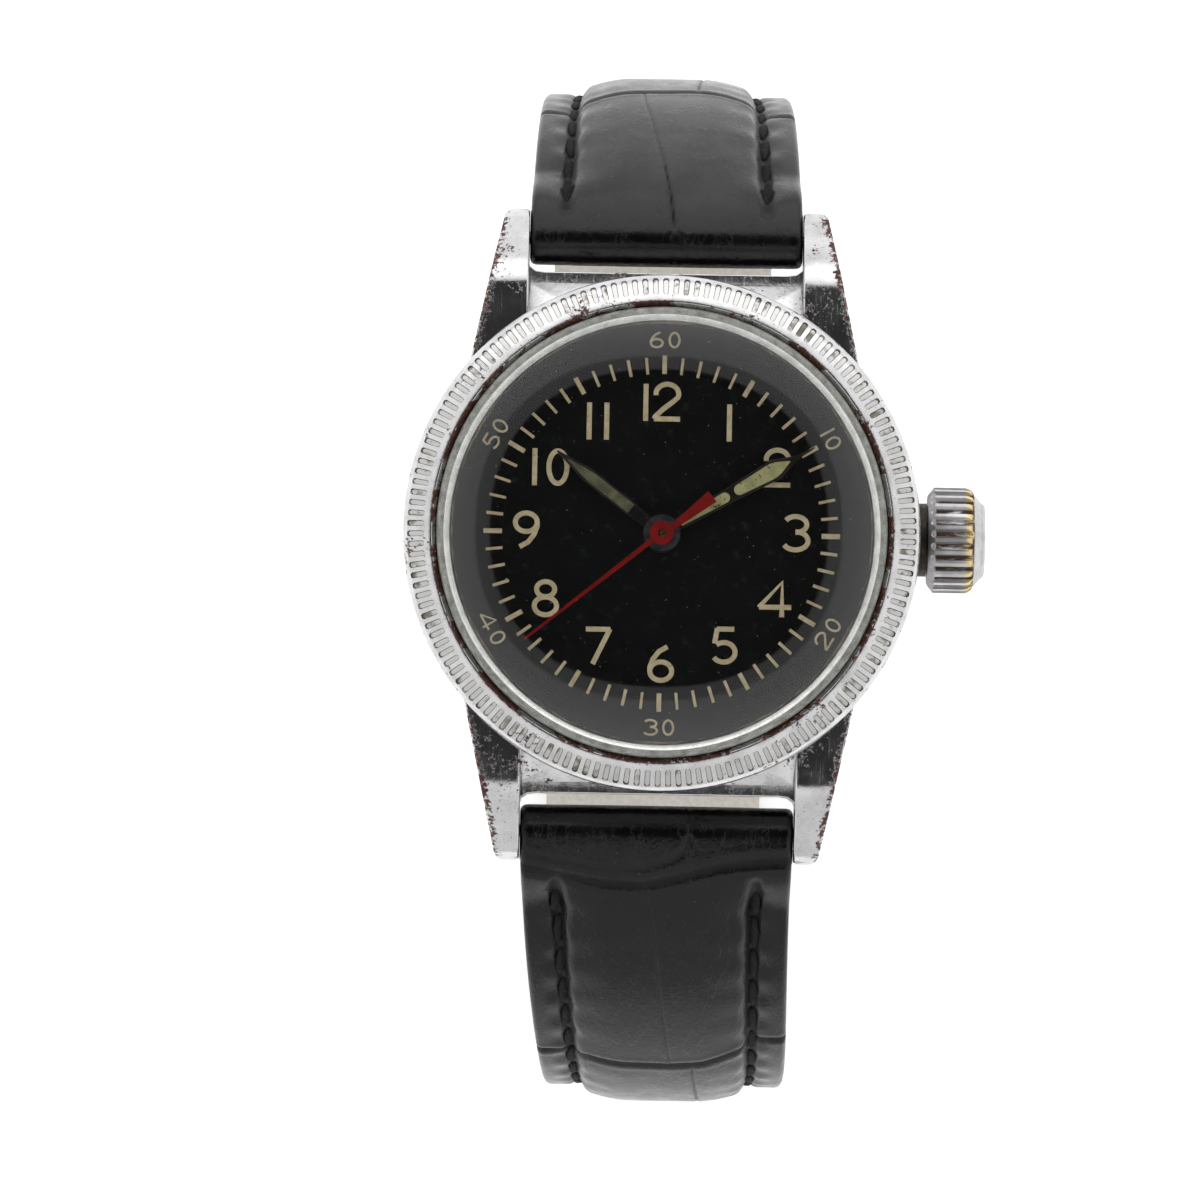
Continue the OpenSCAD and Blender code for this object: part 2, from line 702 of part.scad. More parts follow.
module bridge_screws() color([0.35, 0.38, 0.5]) {
    for (i = [0 : 5]) at(screw_places[i], screw_tops[i]) slotted_screw(0.22, plate_z + 0.4 - screw_tops[i]);
    at(screw_places[6], screw_tops[6] - 0.22) slotted_screw(0.2, 1.3);
    for (p = cover_screws) at(p, dial_z - seat - 0.05) mirror([0, 0, 1]) difference() {
        cylinder(r = screw_r - 0.01, h = 1.2);
        translate([-1, -0.05, -e]) cube([2, 0.1, 0.06]);
    }
}

// Screw whose head lies at z = 0 and whose shank runs up to z = h
module slotted_screw(head_h, h) difference() {
    union() {
        cylinder(r = screw_head_r, h = head_h);
        cylinder(r = screw_r, h = h);
    }
    translate([-1, -0.07, -e]) cube([2, 0.14, 0.1]);
}

// Barrel and winding

module barrel_drum() color(brass) at(barrel_p) {
    barrel_turn = mesh_turn(centre_leaf_n, barrel_dir, barrel_n, barrel_dir);
    difference() {
        union() {
            translate([0, 0, drum_z]) cylinder(r = barrel_r, h = 1.1);
            translate([0, 0, drum_z + 0.7]) linear_extrude(0.35) teeth(barrel_n, barrel_m, turn = barrel_turn);
        }
        translate([0, 0, drum_z - e]) cylinder(r = 4.5, h = 0.9 + e);
        cylinder(r = 0.37, h = 20);
    }
}

module barrel_cover() color(brass) at(barrel_p) ring(drum_z + 0.02, drum_z + 0.14, 0.67, 4.48);

module barrel_arbor() color(steel) at(barrel_p) {
    translate([0, 0, drum_z + 0.2]) cylinder(r = 1.0, h = 0.65);
    translate([0, 0, bridge_z]) cylinder(r = 0.58, h = 0.9);
    translate([-0.4, -0.4, ratchet_z + 0.01]) cube([0.8, 0.8, 0.5]);
    translate([0, 0, drum_z]) cylinder(r = 0.3, h = 1.7);
}

// A flat spring that winds outwards about the origin by a steady pitch
module spiral(r0, r1, turns, t, h) {
    n = 24 * turns;
    linear_extrude(h) polygon(concat(
        [for (i = [0 : n]) polar(r0 + (r1 - r0) * i / n, i * 360 / 24)],
        [for (i = [n : -1 : 0]) polar(r0 + t + (r1 - r0) * i / n, i * 360 / 24)]));
}

module mainspring() color([0.4, 0.45, 0.55]) at(barrel_p, drum_z + 0.2) spiral(1.1, 4.3, 7, 0.14, 0.6);

module ratchet_wheel() color(steel) at(barrel_p, ratchet_z) difference() {
    turn = mesh_turn(crown_wheel_n, 0, ratchet_n, ratchet_dir());
    linear_extrude(ratchet_t) difference() {
        teeth(ratchet_n, winding_m, turn = turn);
        square(0.8 + 2 * seat, center = true);
    }
}

function ratchet_dir() = atan2(barrel_p[1] - crown_wheel_p[1], barrel_p[0] - crown_wheel_p[0]);

module ratchet_screw() color([0.35, 0.38, 0.5]) at(barrel_p, ratchet_z - 0.27) difference() {
    cylinder(r = 0.85, h = 0.25);
    translate([-1, -0.08, -e]) cube([2, 0.16, 0.1]);
}

module crown_wheel() color(steel) at(crown_wheel_p, ratchet_z) linear_extrude(ratchet_t) difference() {
    teeth(crown_wheel_n, winding_m);
    circle(0.75 + run);
}

module crown_wheel_screw() color([0.35, 0.38, 0.5]) at(crown_wheel_p, ratchet_z - 0.22) difference() {
    union() {
        cylinder(r = 1.1, h = 0.2);
        cylinder(r = 0.75, h = 0.56);
        cylinder(r = 0.3, h = bridge_z - ratchet_z + 0.32);
    }
    translate([-2, -0.08, -e]) cube([4, 0.16, 0.1]);
}

module click() color(steel) at(click_p, ratchet_z) {
    linear_extrude(ratchet_t) difference() {
        union() {
            circle(0.6);
            rotate(168) polygon([[0, -0.55], [0, 0.3], [0.9, 0.0], [0.98, -0.12]]);
        }
        circle(0.24 + run);
    }
}

// The click's screw, and the curved blade that bears on the click from its own foot
module click_spring() color(steel) {
    blade_r = 0.72;
    blade_t = 0.13;
    foot_dir = -70;
    at(click_p, ratchet_z - 0.12) cylinder(r = 0.5, h = 0.1);
    at(click_p, ratchet_z - 0.12) cylinder(r = 0.2, h = 0.85);
    at(click_p, ratchet_z + 0.05) linear_extrude(0.18)
        polygon(concat(arc([0, 0], blade_r + blade_t, foot_dir, 110, 12),
            arc([0, 0], blade_r, 110, foot_dir, 12)));
    at(click_p + polar(blade_r + 0.3, foot_dir), ratchet_z + 0.05)
        cylinder(r = 0.32, h = bridge_z - ratchet_z - 0.06);
}

// Going train

module centre_wheel() color(brass) {
    wheel_z = plate_z + 0.03;
    difference() {
        union() {
            translate([0, 0, wheel_z])
                wheel(centre_n, train_m, wheel_t, centre_tube_r - e, 0.8, turn = third_dir);
            translate([0, 0, plate_z - 0.6]) pinion(centre_leaf_n, barrel_m, 0.6, centre_bore_r, barrel_dir);
            translate([0, 0, plate_z - 0.9]) cylinder(r = centre_tube_r, h = minute_hand_z - plate_z + 0.75);
        }
        cylinder(r = centre_bore_r, h = 20);
    }
}

module third_wheel() color(brass) at(third_p) {
    leaf_turn = mesh_turn(centre_n, third_dir, third_leaf_n, third_dir);
    arbor(train_z + 0.06, plate_z + 0.5, arbor_r, 0.25);
    translate([0, 0, plate_z - 1.42]) wheel(third_n, third_m, wheel_t, 0.19, 0.7, turn = third_dir + 180);
    translate([0, 0, plate_z - 0.15]) pinion(third_leaf_n, train_m, 0.45, 0.19, leaf_turn);
}

module fourth_wheel() color(brass) {
    leaf_turn = mesh_turn(third_n, third_dir + 180, fourth_leaf_n, third_dir + 180);
    translate([0, 0, train_z + 0.06]) cylinder(r = second_arbor_r, h = second_hand_z - train_z + 0.05);
    translate([0, 0, plate_z - 1.72])
        wheel(fourth_n, train_m, wheel_t, second_arbor_r - e, 0.6, turn = escape_dir);
    translate([0, 0, plate_z - 1.6]) pinion(fourth_leaf_n, third_m, 0.45, second_arbor_r - e, leaf_turn);
}

module escape_wheel() color(steel) at(escape_p) {
    leaf_turn = mesh_turn(fourth_n, escape_dir, escape_leaf_n, escape_dir);
    arbor(train_z + 0.06, plate_z + 0.5, 0.15, 0.25);
    translate([0, 0, plate_z - 1.8]) pinion(escape_leaf_n, train_m, 0.6, 0.14, leaf_turn);
    translate([0, 0, fork_z]) linear_extrude(0.15) difference() {
        polygon([for (i = [0 : escape_n - 1]) each [
            polar(1.4, 24 * i - 9), polar(1.86, 24 * i + 1), polar(1.86, 24 * i + 3), polar(1.4, 24 * i + 4)]]);
        difference() {
            circle(1.15);
            circle(0.4);
            for (a = [0, 90]) rotate(a) square([3, 0.2], center = true);
        }
        circle(0.14);
    }
}

module pallet_fork() color(steel) at(pallet_p) {
    arbor(plate_z - 0.73, plate_z + 0.5, 0.12, 0.15);
    translate([0, 0, fork_z]) rotate(fork_dir) linear_extrude(0.15) {
        for (s = [-1, 1]) {
            rotate(180 + s * 75) polygon([[0, -0.12], [1.0, -0.1], [1.0, 0.1], [0, 0.12]]);
            polygon([[0, s * 0.05], [2.2, s * 0.05], [2.62, s * 0.1], [2.62, s * 0.2], [2.1, s * 0.16],
                [0, s * 0.16]]);
        }
        circle(0.3);
        translate([0, -0.1]) square([2.0, 0.2]);
    }
}

module balance_wheel() color(brass) at(balance_p) {
    arbor(train_z + 0.06, plate_z + 0.5, 0.16, 0.3);
    translate([0, 0, balance_z]) linear_extrude(0.32) difference() {
        circle(4.15);
        difference() {
            circle(3.75);
            circle(0.45);
            square([8, 0.5], center = true);
        }
        circle(0.15);
    }
    translate([0, 0, fork_z - 0.2]) cylinder(r = 0.62, h = 0.12);
    translate([0, 0, train_z + 0.5]) ring(0, 0.2, 0.15, 0.36);
    rotate(fork_dir - 180) translate([0.5, 0, fork_z - 0.1]) cylinder(r = 0.07, h = 0.25);
}

module hairspring() color([0.3, 0.35, 0.55]) at(balance_p, train_z + 0.52) spiral(0.45, 2.0, 8, 0.05, 0.12);

module regulator() color(steel) at(balance_p, train_z - 0.22) difference() {
    union() {
        cylinder(r = 1.2, h = 0.18);
        rotate(60) translate([0, -0.2, 0]) cube([2.6, 0.4, 0.18]);
    }
    translate([0, 0, -e]) cylinder(r = 0.7, h = 1);
}

module jewel(p, z) at(p) ring(z, z + jewel_t, pivot_r + 0.03, jewel_r);

module train_jewels() color(ruby) {
    at([0, 0]) ring(train_z + 0.02, train_z + 0.02 + jewel_t, second_arbor_r + 0.03, jewel_r);
    for (p = [third_p, escape_p]) {
        jewel(p, train_z + 0.02);
        jewel(p, plate_z + 0.3 + seat);
    }
    jewel(pallet_p, plate_z + 0.3 + seat);
}

module balance_jewels() color(ruby) {
    jewel(balance_p, train_z + 0.02);
    jewel(balance_p, plate_z + 0.3 + seat);
}

// Motion work and setting

module cannon_pinion() color(steel) {
    translate([0, 0, plate_top + 0.03]) pinion(cannon_n, motion_m, 0.22, centre_tube_r + e, 180 / cannon_n);
    ring(plate_top + 0.2, minute_hand_z + hand_t, centre_tube_r + e, cannon_r);
}

module minute_wheel() color(brass) at(minute_p) {
    leaf_turn = 180;
    translate([0, 0, plate_top + 0.05]) wheel(minute_n, motion_m, wheel_t, 0.29, 0.6);
    translate([0, 0, plate_top + 0.19]) pinion(minute_leaf_n, hour_m, 0.32, 0.29, leaf_turn);
}

module hour_wheel() color(brass) {
    wheel_z = plate_top + 0.32;
    translate([0, 0, wheel_z]) linear_extrude(wheel_t) difference() {
        teeth(hour_n, hour_m, turn = 180 / hour_n);
        circle(hour_bore_r);
    }
    ring(wheel_z, hour_hand_z + hand_t - 0.02, hour_bore_r, hour_pipe_r);
}

module setting_wheel() color(brass) at(setting_p, plate_top - setting_depth)
    pinion(setting_n, motion_m, setting_depth + 0.16, 0.3 + run, 180 + 180 / setting_n);

module winding_pinion() color(steel) difference() {
    union() {
        translate([winding_x, 0, stem_z]) rotate([0, 90, 0])
            linear_extrude(winding_end_x - winding_x) teeth(winding_n, winding_m, turn = 180 / winding_n);
        rod(winding_x - 0.5, winding_x + e, 1.15);
    }
    rod(0, 30, stem_r + run);
}

module sliding_pinion() color(steel) difference() {
    union() {
        translate([sliding_x, 0, stem_z]) rotate([0, 90, 0]) linear_extrude(0.5) teeth(sliding_n, sliding_m);
        rod(sliding_x, sliding_x + 1.5, 0.9);
        rod(sliding_x + 1.15, sliding_x + 1.55, 1.2);
    }
    translate([0, -0.34, stem_z - 0.34]) cube([20, 0.68, 0.68]);
}

module setting_lever() color(steel) {
    at(lever_p, plate_z + 0.32) cylinder(r = 0.26, h = plate_top - plate_z);
    translate([0, 0, plate_top + 0.1]) linear_extrude(0.2)
        arm(lever_p, 0.5, lever_p + polar(lever_r, 90 + lever_angle), 0.28);
    at(lever_p + polar(lever_r, 90 + lever_angle), stem_z + 0.33) cylinder(r = 0.14, h = 1.4);
}

module yoke() color(steel) {
    at(yoke_p, plate_z + 0.22) cylinder(r = 0.29, h = plate_top - plate_z);
    translate([0, 0, plate_top - 0.55]) linear_extrude(0.3) {
        arm(yoke_p, 0.6, [yoke_x, 1.9], 0.35);
        translate([yoke_x - 0.14, -0.3]) square([0.28, 2.4]);
    }
}

// Strap

module spring_bars() color(steel) for (s = [-1, 1]) translate([0, s * bar_y, bar_z]) rotate([0, 90, 0]) {
    translate([0, 0, -lug_gap / 2 + gap]) cylinder(r = bar_r, h = lug_gap - 2 * gap);
    translate([0, 0, -lug_gap / 2 - bar_hole_depth + gap])
        cylinder(r = bar_tip_r, h = lug_gap + 2 * bar_hole_depth - 2 * gap);
}

// The seam between leather and lining, from the spring bar down, round and along, as [y, z] points
function seam(reach, low_z, low_y, end_y) =
    let (s = [bar_y, bar_z] + seam_shift * [sin(start_angle), -cos(start_angle)])
    let (a = [s, s + 6 * [cos(start_angle), sin(start_angle)], [reach, turn_z + 12], [reach, turn_z]])
    let (b = [[reach, turn_z], [reach, turn_z * 0.55 + low_z * 0.45], [low_y + 9, low_z], [low_y, low_z]])
    concat([for (i = [0 : 10]) cubic(a, i / 10)], [for (i = [1 : 10]) cubic(b, i / 10)],
        [for (i = [1 : 8]) [low_y + (end_y - low_y) * sin(i * 90 / 8), low_z]]);

seam_12 = seam(reach_12, flat_z_12, 14, flat_end_12);
seam_6 = seam(reach_6, flat_z_6, 15, -flat_end_6);

function along(path, i) = i == 0 ? 0 : along(path, i - 1) + norm(path[i] - path[i - 1]);

// Direction out of the loop at point i
function outward(path, i) =
    let (d = path[min(i + 1, len(path) - 1)] - path[max(i - 1, 0)])
    [-d[1], d[0]] / norm(d);

// Half the strap's width at a distance s along a half of length l that narrows over its last stretch
function half_width(s, l, tip_l) = (strap_w + (strap_end_w - strap_w) * min(1, s / 45)) / 2
    * (1 - 0.7 * pow(max(0, s - l + tip_l) / max(tip_l, 1), 2));

// Height of the padding at a distance s along the strap, which is steady where the strap lies flat
function padding(s) = flat_pad_t + (pad_t - flat_pad_t) * max(0, 1 - s / 55);

// Tube through rings of points
module skin(rings) {
    n = len(rings[0]);
    m = len(rings);
    polyhedron(
        points = [for (r = rings) each r],
        faces = concat(
            [[for (j = [0 : n - 1]) j]],
            [[for (j = [n - 1 : -1 : 0]) (m - 1) * n + j]],
            [for (i = [0 : m - 2], j = [0 : n - 1]) each [
                [i * n + j, (i + 1) * n + j, i * n + (j + 1) % n],
                [i * n + (j + 1) % n, (i + 1) * n + j, (i + 1) * n + (j + 1) % n]]]));
}

// Padded leather over the seam, flat along its edges
function leather_ring(p, n, w, edge, crown) =
    let (flat_w = min(strap_edge_w, w * 0.3))
    [for (q = [[-w, 0.01], [-w, edge], [-w + flat_w, edge], [-w / 2, crown],
        [w / 2, crown], [w - flat_w, edge], [w, edge], [w, 0.01]])
        [q[0], p[0] + n[0] * q[1], p[1] + n[1] * q[1]]];

function lining_ring(p, n, w, t) = [for (q = [[-w, -t], [-w, -0.01], [w, -0.01], [w, -t]])
    [q[0], p[0] + n[0] * q[1], p[1] + n[1] * q[1]]];

// The leather keeps the thickness of its roll beside the spring bar, then thins to its edges and crown
module leather_skin(path, tip_l) {
    l = along(path, len(path) - 1);
    thick = roll_r + seam_shift;
    skin([for (i = [0 : len(path) - 1])
        let (s = along(path, i), near = max(0, min(1, (6.5 - s) / 4)),
            edge = edge_t + near * (thick - edge_t - 0.02),
            crown = edge_t + padding(s) + near * (thick - edge_t - padding(s)))
        leather_ring(path[i], outward(path, i), half_width(s, l, tip_l), edge, max(edge + 0.01, crown))]);
}

module lining_skin(path, tip_l) difference() {
    l = along(path, len(path) - 1);
    skin([for (i = [1 : len(path) - 1])
        lining_ring(path[i], outward(path, i), half_width(along(path, i), l, tip_l), lining_t)]);
    translate([-strap_w, bar_y, bar_z]) rotate([0, 90, 0]) cylinder(r = roll_r + seat, h = 2 * strap_w);
}

// Cylinder across the strap
module cross(y, z, r, w) {
    translate([-w / 2, y, z]) rotate([0, 90, 0]) cylinder(r = r, h = w);
}

module strap_12_leather() color(leather) difference() {
    union() {
        cross(bar_y, bar_z, roll_r, strap_w);
        leather_skin(seam_12, 0);
        cross(buckle_y, flat_z_12, end_roll_r, strap_end_w - 2 * seat);
    }
    cross(bar_y, bar_z, bar_r + 0.08, 2 * strap_w);
    cross(buckle_y, flat_z_12, buckle_bar_d / 2 + 0.06, 2 * strap_w);
    translate([-tongue_w / 2 - 0.6, buckle_y - 3, flat_z_12 - 3]) cube([tongue_w + 1.2, 4.6, 6]);
}

module strap_12_lining() color(lining_colour) difference() {
    lining_skin(seam_12, 0);
    cross(buckle_y, flat_z_12, end_roll_r + seat, 2 * strap_w);
}

module strap_6_leather() color(leather) mirror([0, 1, 0]) difference() {
    union() {
        cross(bar_y, bar_z, roll_r, strap_w);
        leather_skin(seam_6, strap_tip_l);
    }
    cross(bar_y, bar_z, bar_r + 0.08, 2 * strap_w);
    tongue_holes();
}

module strap_6_lining() color(lining_colour) mirror([0, 1, 0]) difference() {
    lining_skin(seam_6, strap_tip_l);
    tongue_holes();
}

module tongue_holes() for (i = [0 : 4])
    translate([0, first_hole_y - i * hole_pitch, flat_z_6 - 5]) cylinder(r = hole_d / 2, h = 10);

// Keepers wrap the 12 o'clock half where it runs flat
module keeper(y) {
    w = strap_end_w / 2 + 0.15;
    top = flat_z_12 + lining_t + 0.1;
    bottom = flat_z_12 - edge_t - 0.8 - 1.9;
    translate([0, y + keeper_w / 2, 0]) rotate([90, 0, 0]) linear_extrude(keeper_w) difference() {
        translate([-w - keeper_t, bottom - keeper_t]) square([2 * (w + keeper_t), top - bottom + 2 * keeper_t]);
        translate([-w, bottom]) square([2 * w, top - bottom]);
    }
}

module fixed_keeper() color(leather) keeper(keeper_y);

module free_keeper() color(leather) keeper(free_keeper_y);

// Buckle

module buckle_bar() color(steel) cross(buckle_y, flat_z_12, buckle_bar_d / 2, strap_end_w + 2.8);

module buckle_frame() color(chrome) {
    inner = strap_end_w / 2 + 0.2;
    outer = inner + buckle_arm_w;
    difference() {
        union() {
            for (s = [-1, 1]) translate([s * (inner + outer) / 2, buckle_y - buckle_l / 2, flat_z_12])
                cube([buckle_arm_w, buckle_l, buckle_t], center = true);
            for (s = [-1, 1]) translate([s * (inner + outer) / 2, 0, 0])
                cross(buckle_y, flat_z_12, buckle_t / 2 + 0.3, buckle_arm_w);
            translate([-outer, buckle_y - buckle_l - 1.5, flat_z_12 - buckle_t / 2])
                cube([2 * outer, 2, buckle_t]);
        }
        cross(buckle_y, flat_z_12, buckle_bar_d / 2 + run, 40);
    }
}

module buckle_tongue() color(chrome) difference() {
    union() {
        cross(buckle_y, flat_z_12, 1.15, tongue_w + 0.5);
        rotate([90, 0, 90]) translate([0, 0, -tongue_w / 2]) linear_extrude(tongue_w) polygon([
            [buckle_y, flat_z_12 - 1.14], [buckle_y - buckle_l - 1.4, flat_z_12 - buckle_t / 2 - 1.0],
            [buckle_y - buckle_l - 1.6, flat_z_12 - buckle_t / 2 - 0.08],
            [buckle_y - buckle_l + 0.6, flat_z_12 - buckle_t / 2 - 0.08], [buckle_y - 1.0, flat_z_12 - 0.3],
            [buckle_y - 1.0, flat_z_12 - 0.4]]);
    }
    cross(buckle_y, flat_z_12, buckle_bar_d / 2 + run, 10);
}

case_body();
bezel();
crystal();
tension_ring();
case_back();
back_gasket();
movement_ring();
crown_tube();
crown();
crown_gasket();
stem();
dial();
hour_hand();
minute_hand();
second_hand();
main_plate();
barrel_bridge();
train_bridge();
balance_cock();
pallet_bridge();
setting_bridge();
barrel_drum();
barrel_cover();
barrel_arbor();
mainspring();
ratchet_wheel();
ratchet_screw();
crown_wheel();
crown_wheel_screw();
click();
click_spring();
centre_wheel();
third_wheel();
fourth_wheel();
escape_wheel();
pallet_fork();
balance_wheel();
hairspring();
regulator();
train_jewels();
balance_jewels();
bridge_screws();
cannon_pinion();
minute_wheel();
hour_wheel();
setting_wheel();
winding_pinion();
sliding_pinion();
setting_lever();
yoke();
spring_bars();
strap_12_leather();
strap_12_lining();
strap_6_leather();
strap_6_lining();
fixed_keeper();
free_keeper();
buckle_frame();
buckle_tongue();
buckle_bar();
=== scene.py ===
import bisect
import json
import math
import random

import bpy
from mathutils import Matrix, Vector

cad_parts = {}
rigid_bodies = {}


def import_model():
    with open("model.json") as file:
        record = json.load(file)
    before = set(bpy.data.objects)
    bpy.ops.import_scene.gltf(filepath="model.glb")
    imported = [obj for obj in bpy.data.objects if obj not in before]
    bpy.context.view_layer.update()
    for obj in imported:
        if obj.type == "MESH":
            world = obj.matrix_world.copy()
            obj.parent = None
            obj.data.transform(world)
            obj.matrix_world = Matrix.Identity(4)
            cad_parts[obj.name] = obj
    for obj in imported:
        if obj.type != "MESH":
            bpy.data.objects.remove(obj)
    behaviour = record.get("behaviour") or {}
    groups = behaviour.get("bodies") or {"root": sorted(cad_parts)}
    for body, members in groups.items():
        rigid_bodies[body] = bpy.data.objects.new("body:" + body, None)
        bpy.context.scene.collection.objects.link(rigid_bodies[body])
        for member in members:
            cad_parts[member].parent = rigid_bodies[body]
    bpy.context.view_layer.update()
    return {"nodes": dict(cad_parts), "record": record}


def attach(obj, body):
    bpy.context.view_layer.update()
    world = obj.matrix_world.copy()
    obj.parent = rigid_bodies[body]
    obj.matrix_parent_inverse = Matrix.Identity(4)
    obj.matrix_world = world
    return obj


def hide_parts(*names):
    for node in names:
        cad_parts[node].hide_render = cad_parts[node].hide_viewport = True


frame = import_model()
random.seed(4)

mm = 0.001
fullTurn = math.radians(360)
weld = 0.000001  # vertices closer than this are one


# Modelling helpers. Points are in millimetres and become metres here.

def pickOnly(*pieces):
    bpy.ops.object.select_all(action="DESELECT")
    for piece in pieces:
        piece.select_set(True)
    bpy.context.view_layer.objects.active = pieces[0]


def nameActive(name):
    piece = bpy.context.object
    piece.name = name
    piece.data.name = name
    return piece


def editMode():
    bpy.ops.object.mode_set(mode="EDIT")


def objectMode():
    bpy.ops.object.mode_set(mode="OBJECT")


def arc(cx, cy, r, start, end, steps):
    turns = [math.radians(start + (end - start) * i / steps) for i in range(steps + 1)]
    return [(cx + r * math.cos(a), cy + r * math.sin(a)) for a in turns]


# Traces an outline by extruding one vertex from point to point, and leaves it in edit mode
def drawOutline(name, points, closed=True):
    points = [Vector(p) * mm for p in points]
    bpy.ops.object.select_all(action="DESELECT")
    bpy.ops.mesh.primitive_plane_add(size=mm)
    piece = nameActive(name)
    editMode()
    bpy.ops.mesh.select_mode(type="VERT")
    bpy.ops.mesh.merge(type="CENTER")
    bpy.ops.transform.translate(value=points[0])
    path = points[1:] + points[:1] if closed else points[1:]
    for last, point in zip(points, path):
        bpy.ops.mesh.extrude_region_move(TRANSFORM_OT_translate={"value": point - last})
    bpy.ops.mesh.select_all(action="SELECT")
    bpy.ops.mesh.remove_doubles(threshold=weld)
    return piece


# Turns a profile of (radius, height) points about the Z axis. One that ends on the axis stays open.
def spinPiece(name, profile, steps=160):
    onAxis = profile[0][0] == 0 and profile[-1][0] == 0
    piece = drawOutline(name, [(r, 0, z) for r, z in profile], closed=not onAxis)
    bpy.ops.mesh.spin(steps=steps, angle=fullTurn, center=(0, 0, 0), axis=(0, 0, 1))
    cleanMesh()
    return piece


def cleanMesh():
    bpy.ops.mesh.select_all(action="SELECT")
    bpy.ops.mesh.remove_doubles(threshold=weld)
    bpy.ops.mesh.normals_make_consistent(inside=False)
    objectMode()


def addBevel(piece, width, segments=3, angle=35):
    pickOnly(piece)
    bevel = piece.modifiers.new("bevel", "BEVEL")
    bevel.width = width * mm
    bevel.segments = segments
    bevel.limit_method = "ANGLE"
    bevel.angle_limit = math.radians(angle)
    bevel.use_clamp_overlap = True
    bpy.ops.object.modifier_apply(modifier="bevel")


def joinSolids(piece, others, operation="UNION"):
    for other in others:
        pickOnly(piece)
        cut = piece.modifiers.new("join", "BOOLEAN")
        cut.operation = operation
        cut.solver = "EXACT"
        cut.object = other
        bpy.ops.object.modifier_apply(modifier="join")
        pickOnly(other)
        bpy.ops.object.delete()
    pickOnly(piece)


# Fills the outline in edit mode and pulls it out into a solid
def pullOut(x, y, z):
    bpy.ops.mesh.edge_face_add()
    bpy.ops.mesh.extrude_region_move(TRANSFORM_OT_translate={"value": (x * mm, y * mm, z * mm)})


# A cylinder along X, or upright when its turn is 0
def addCylinder(r, deep, place, sides=32, turn=90):
    bpy.ops.object.select_all(action="DESELECT")
    bpy.ops.mesh.primitive_cylinder_add(vertices=sides, radius=r * mm, depth=deep * mm,
                                        location=[c * mm for c in place], rotation=(0, math.radians(turn), 0))
    return bpy.context.object


def cutHole(piece, r, deep, place, sides=32, turn=90):
    joinSolids(piece, [addCylinder(r, deep, place, sides, turn)], "DIFFERENCE")


def cutBox(piece, size, place, turn=0.0):
    bpy.ops.object.select_all(action="DESELECT")
    bpy.ops.mesh.primitive_cube_add(size=1, location=[c * mm for c in place], rotation=(0, 0, turn))
    box = bpy.context.object
    box.scale = [c * mm for c in size]
    joinSolids(piece, [box], "DIFFERENCE")


# Picks faces in edit mode by a test on their centre and normal
def pickFaces(piece, test):
    bpy.ops.mesh.select_mode(type="FACE")
    bpy.ops.mesh.select_all(action="DESELECT")
    objectMode()
    for face in piece.data.polygons:
        face.select = bool(test(face.center / mm, face.normal))
    editMode()


# Copies of a piece, each with its own mesh, made one piece with it
def joinCopies(piece, places):
    copies = []
    for place in places:
        pickOnly(piece)
        bpy.ops.object.duplicate(linked=False)
        copy = bpy.context.object
        copy.matrix_world = place
        copies.append(copy)
    pickOnly(piece)
    bpy.ops.object.delete()
    pickOnly(*copies)
    bpy.ops.object.join()
    return bpy.context.object


def joinAll(pieces, name):
    pickOnly(*pieces)
    bpy.ops.object.join()
    return nameActive(name)


def finishPiece(piece, body, look, replaced=(), angle=40):
    pickOnly(piece)
    bpy.ops.object.transform_apply(location=True, rotation=True, scale=True)
    bpy.ops.object.shade_smooth_by_angle(angle=math.radians(angle))
    if look:
        piece.data.materials.clear()
        piece.data.materials.append(look)
    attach(piece, body)
    if replaced:
        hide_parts(*replaced)
    return piece


def dressNode(node, look):
    data = frame["nodes"][node].data
    data.materials.clear()
    data.materials.append(look)


# Material helpers

def newLook(name, colour, roughness, metallic=0.0, sockets=None):
    look = bpy.data.materials.new(name)
    look.use_nodes = True
    shader = look.node_tree.nodes["Principled BSDF"]
    shader.inputs["Base Color"].default_value = (*colour, 1)
    shader.inputs["Roughness"].default_value = roughness
    shader.inputs["Metallic"].default_value = metallic
    for socket, value in (sockets or {}).items():
        shader.inputs[socket].default_value = value
    return look


def addNode(look, kind, inputs=None, **settings):
    node = look.node_tree.nodes.new(kind)
    for key, value in settings.items():
        setattr(node, key, value)
    for key, value in (inputs or {}).items():
        if isinstance(value, bpy.types.NodeSocket):
            look.node_tree.links.new(value, node.inputs[key])
        else:
            node.inputs[key].default_value = value
    return node


def wire(look, socket, value):
    shader = look.node_tree.nodes["Principled BSDF"]
    look.node_tree.links.new(value, shader.inputs[socket])


def objectPlace(look):
    return addNode(look, "ShaderNodeTexCoord").outputs["Object"]


def noise(look, size, detail=4, rough=0.55, stretch=(1, 1, 1), place=None):
    place = place or objectPlace(look)
    scaled = addNode(look, "ShaderNodeMapping", {"Vector": place, "Scale": stretch}).outputs[0]
    texture = addNode(look, "ShaderNodeTexNoise", {"Vector": scaled, "Scale": 1 / (size * mm), "Detail": detail,
                                                   "Roughness": rough})
    return texture.outputs[0]


def spread(look, value, low, high, toLow=0.0, toHigh=1.0):
    node = addNode(look, "ShaderNodeMapRange", {"Value": value, "From Min": low, "From Max": high,
                                                "To Min": toLow, "To Max": toHigh},
                   interpolation_type="SMOOTHSTEP")
    return node.outputs[0]


# Noise made into patches from 0 to 1. The grain is what noise takes: size, detail, roughness and stretch.
def patches(look, grain, low, high, toLow=0.0, toHigh=1.0):
    return spread(look, noise(look, *grain), low, high, toLow, toHigh)


def maths(look, operation, a, b=0.0):
    return addNode(look, "ShaderNodeMath", {0: a, 1: b}, operation=operation).outputs[0]


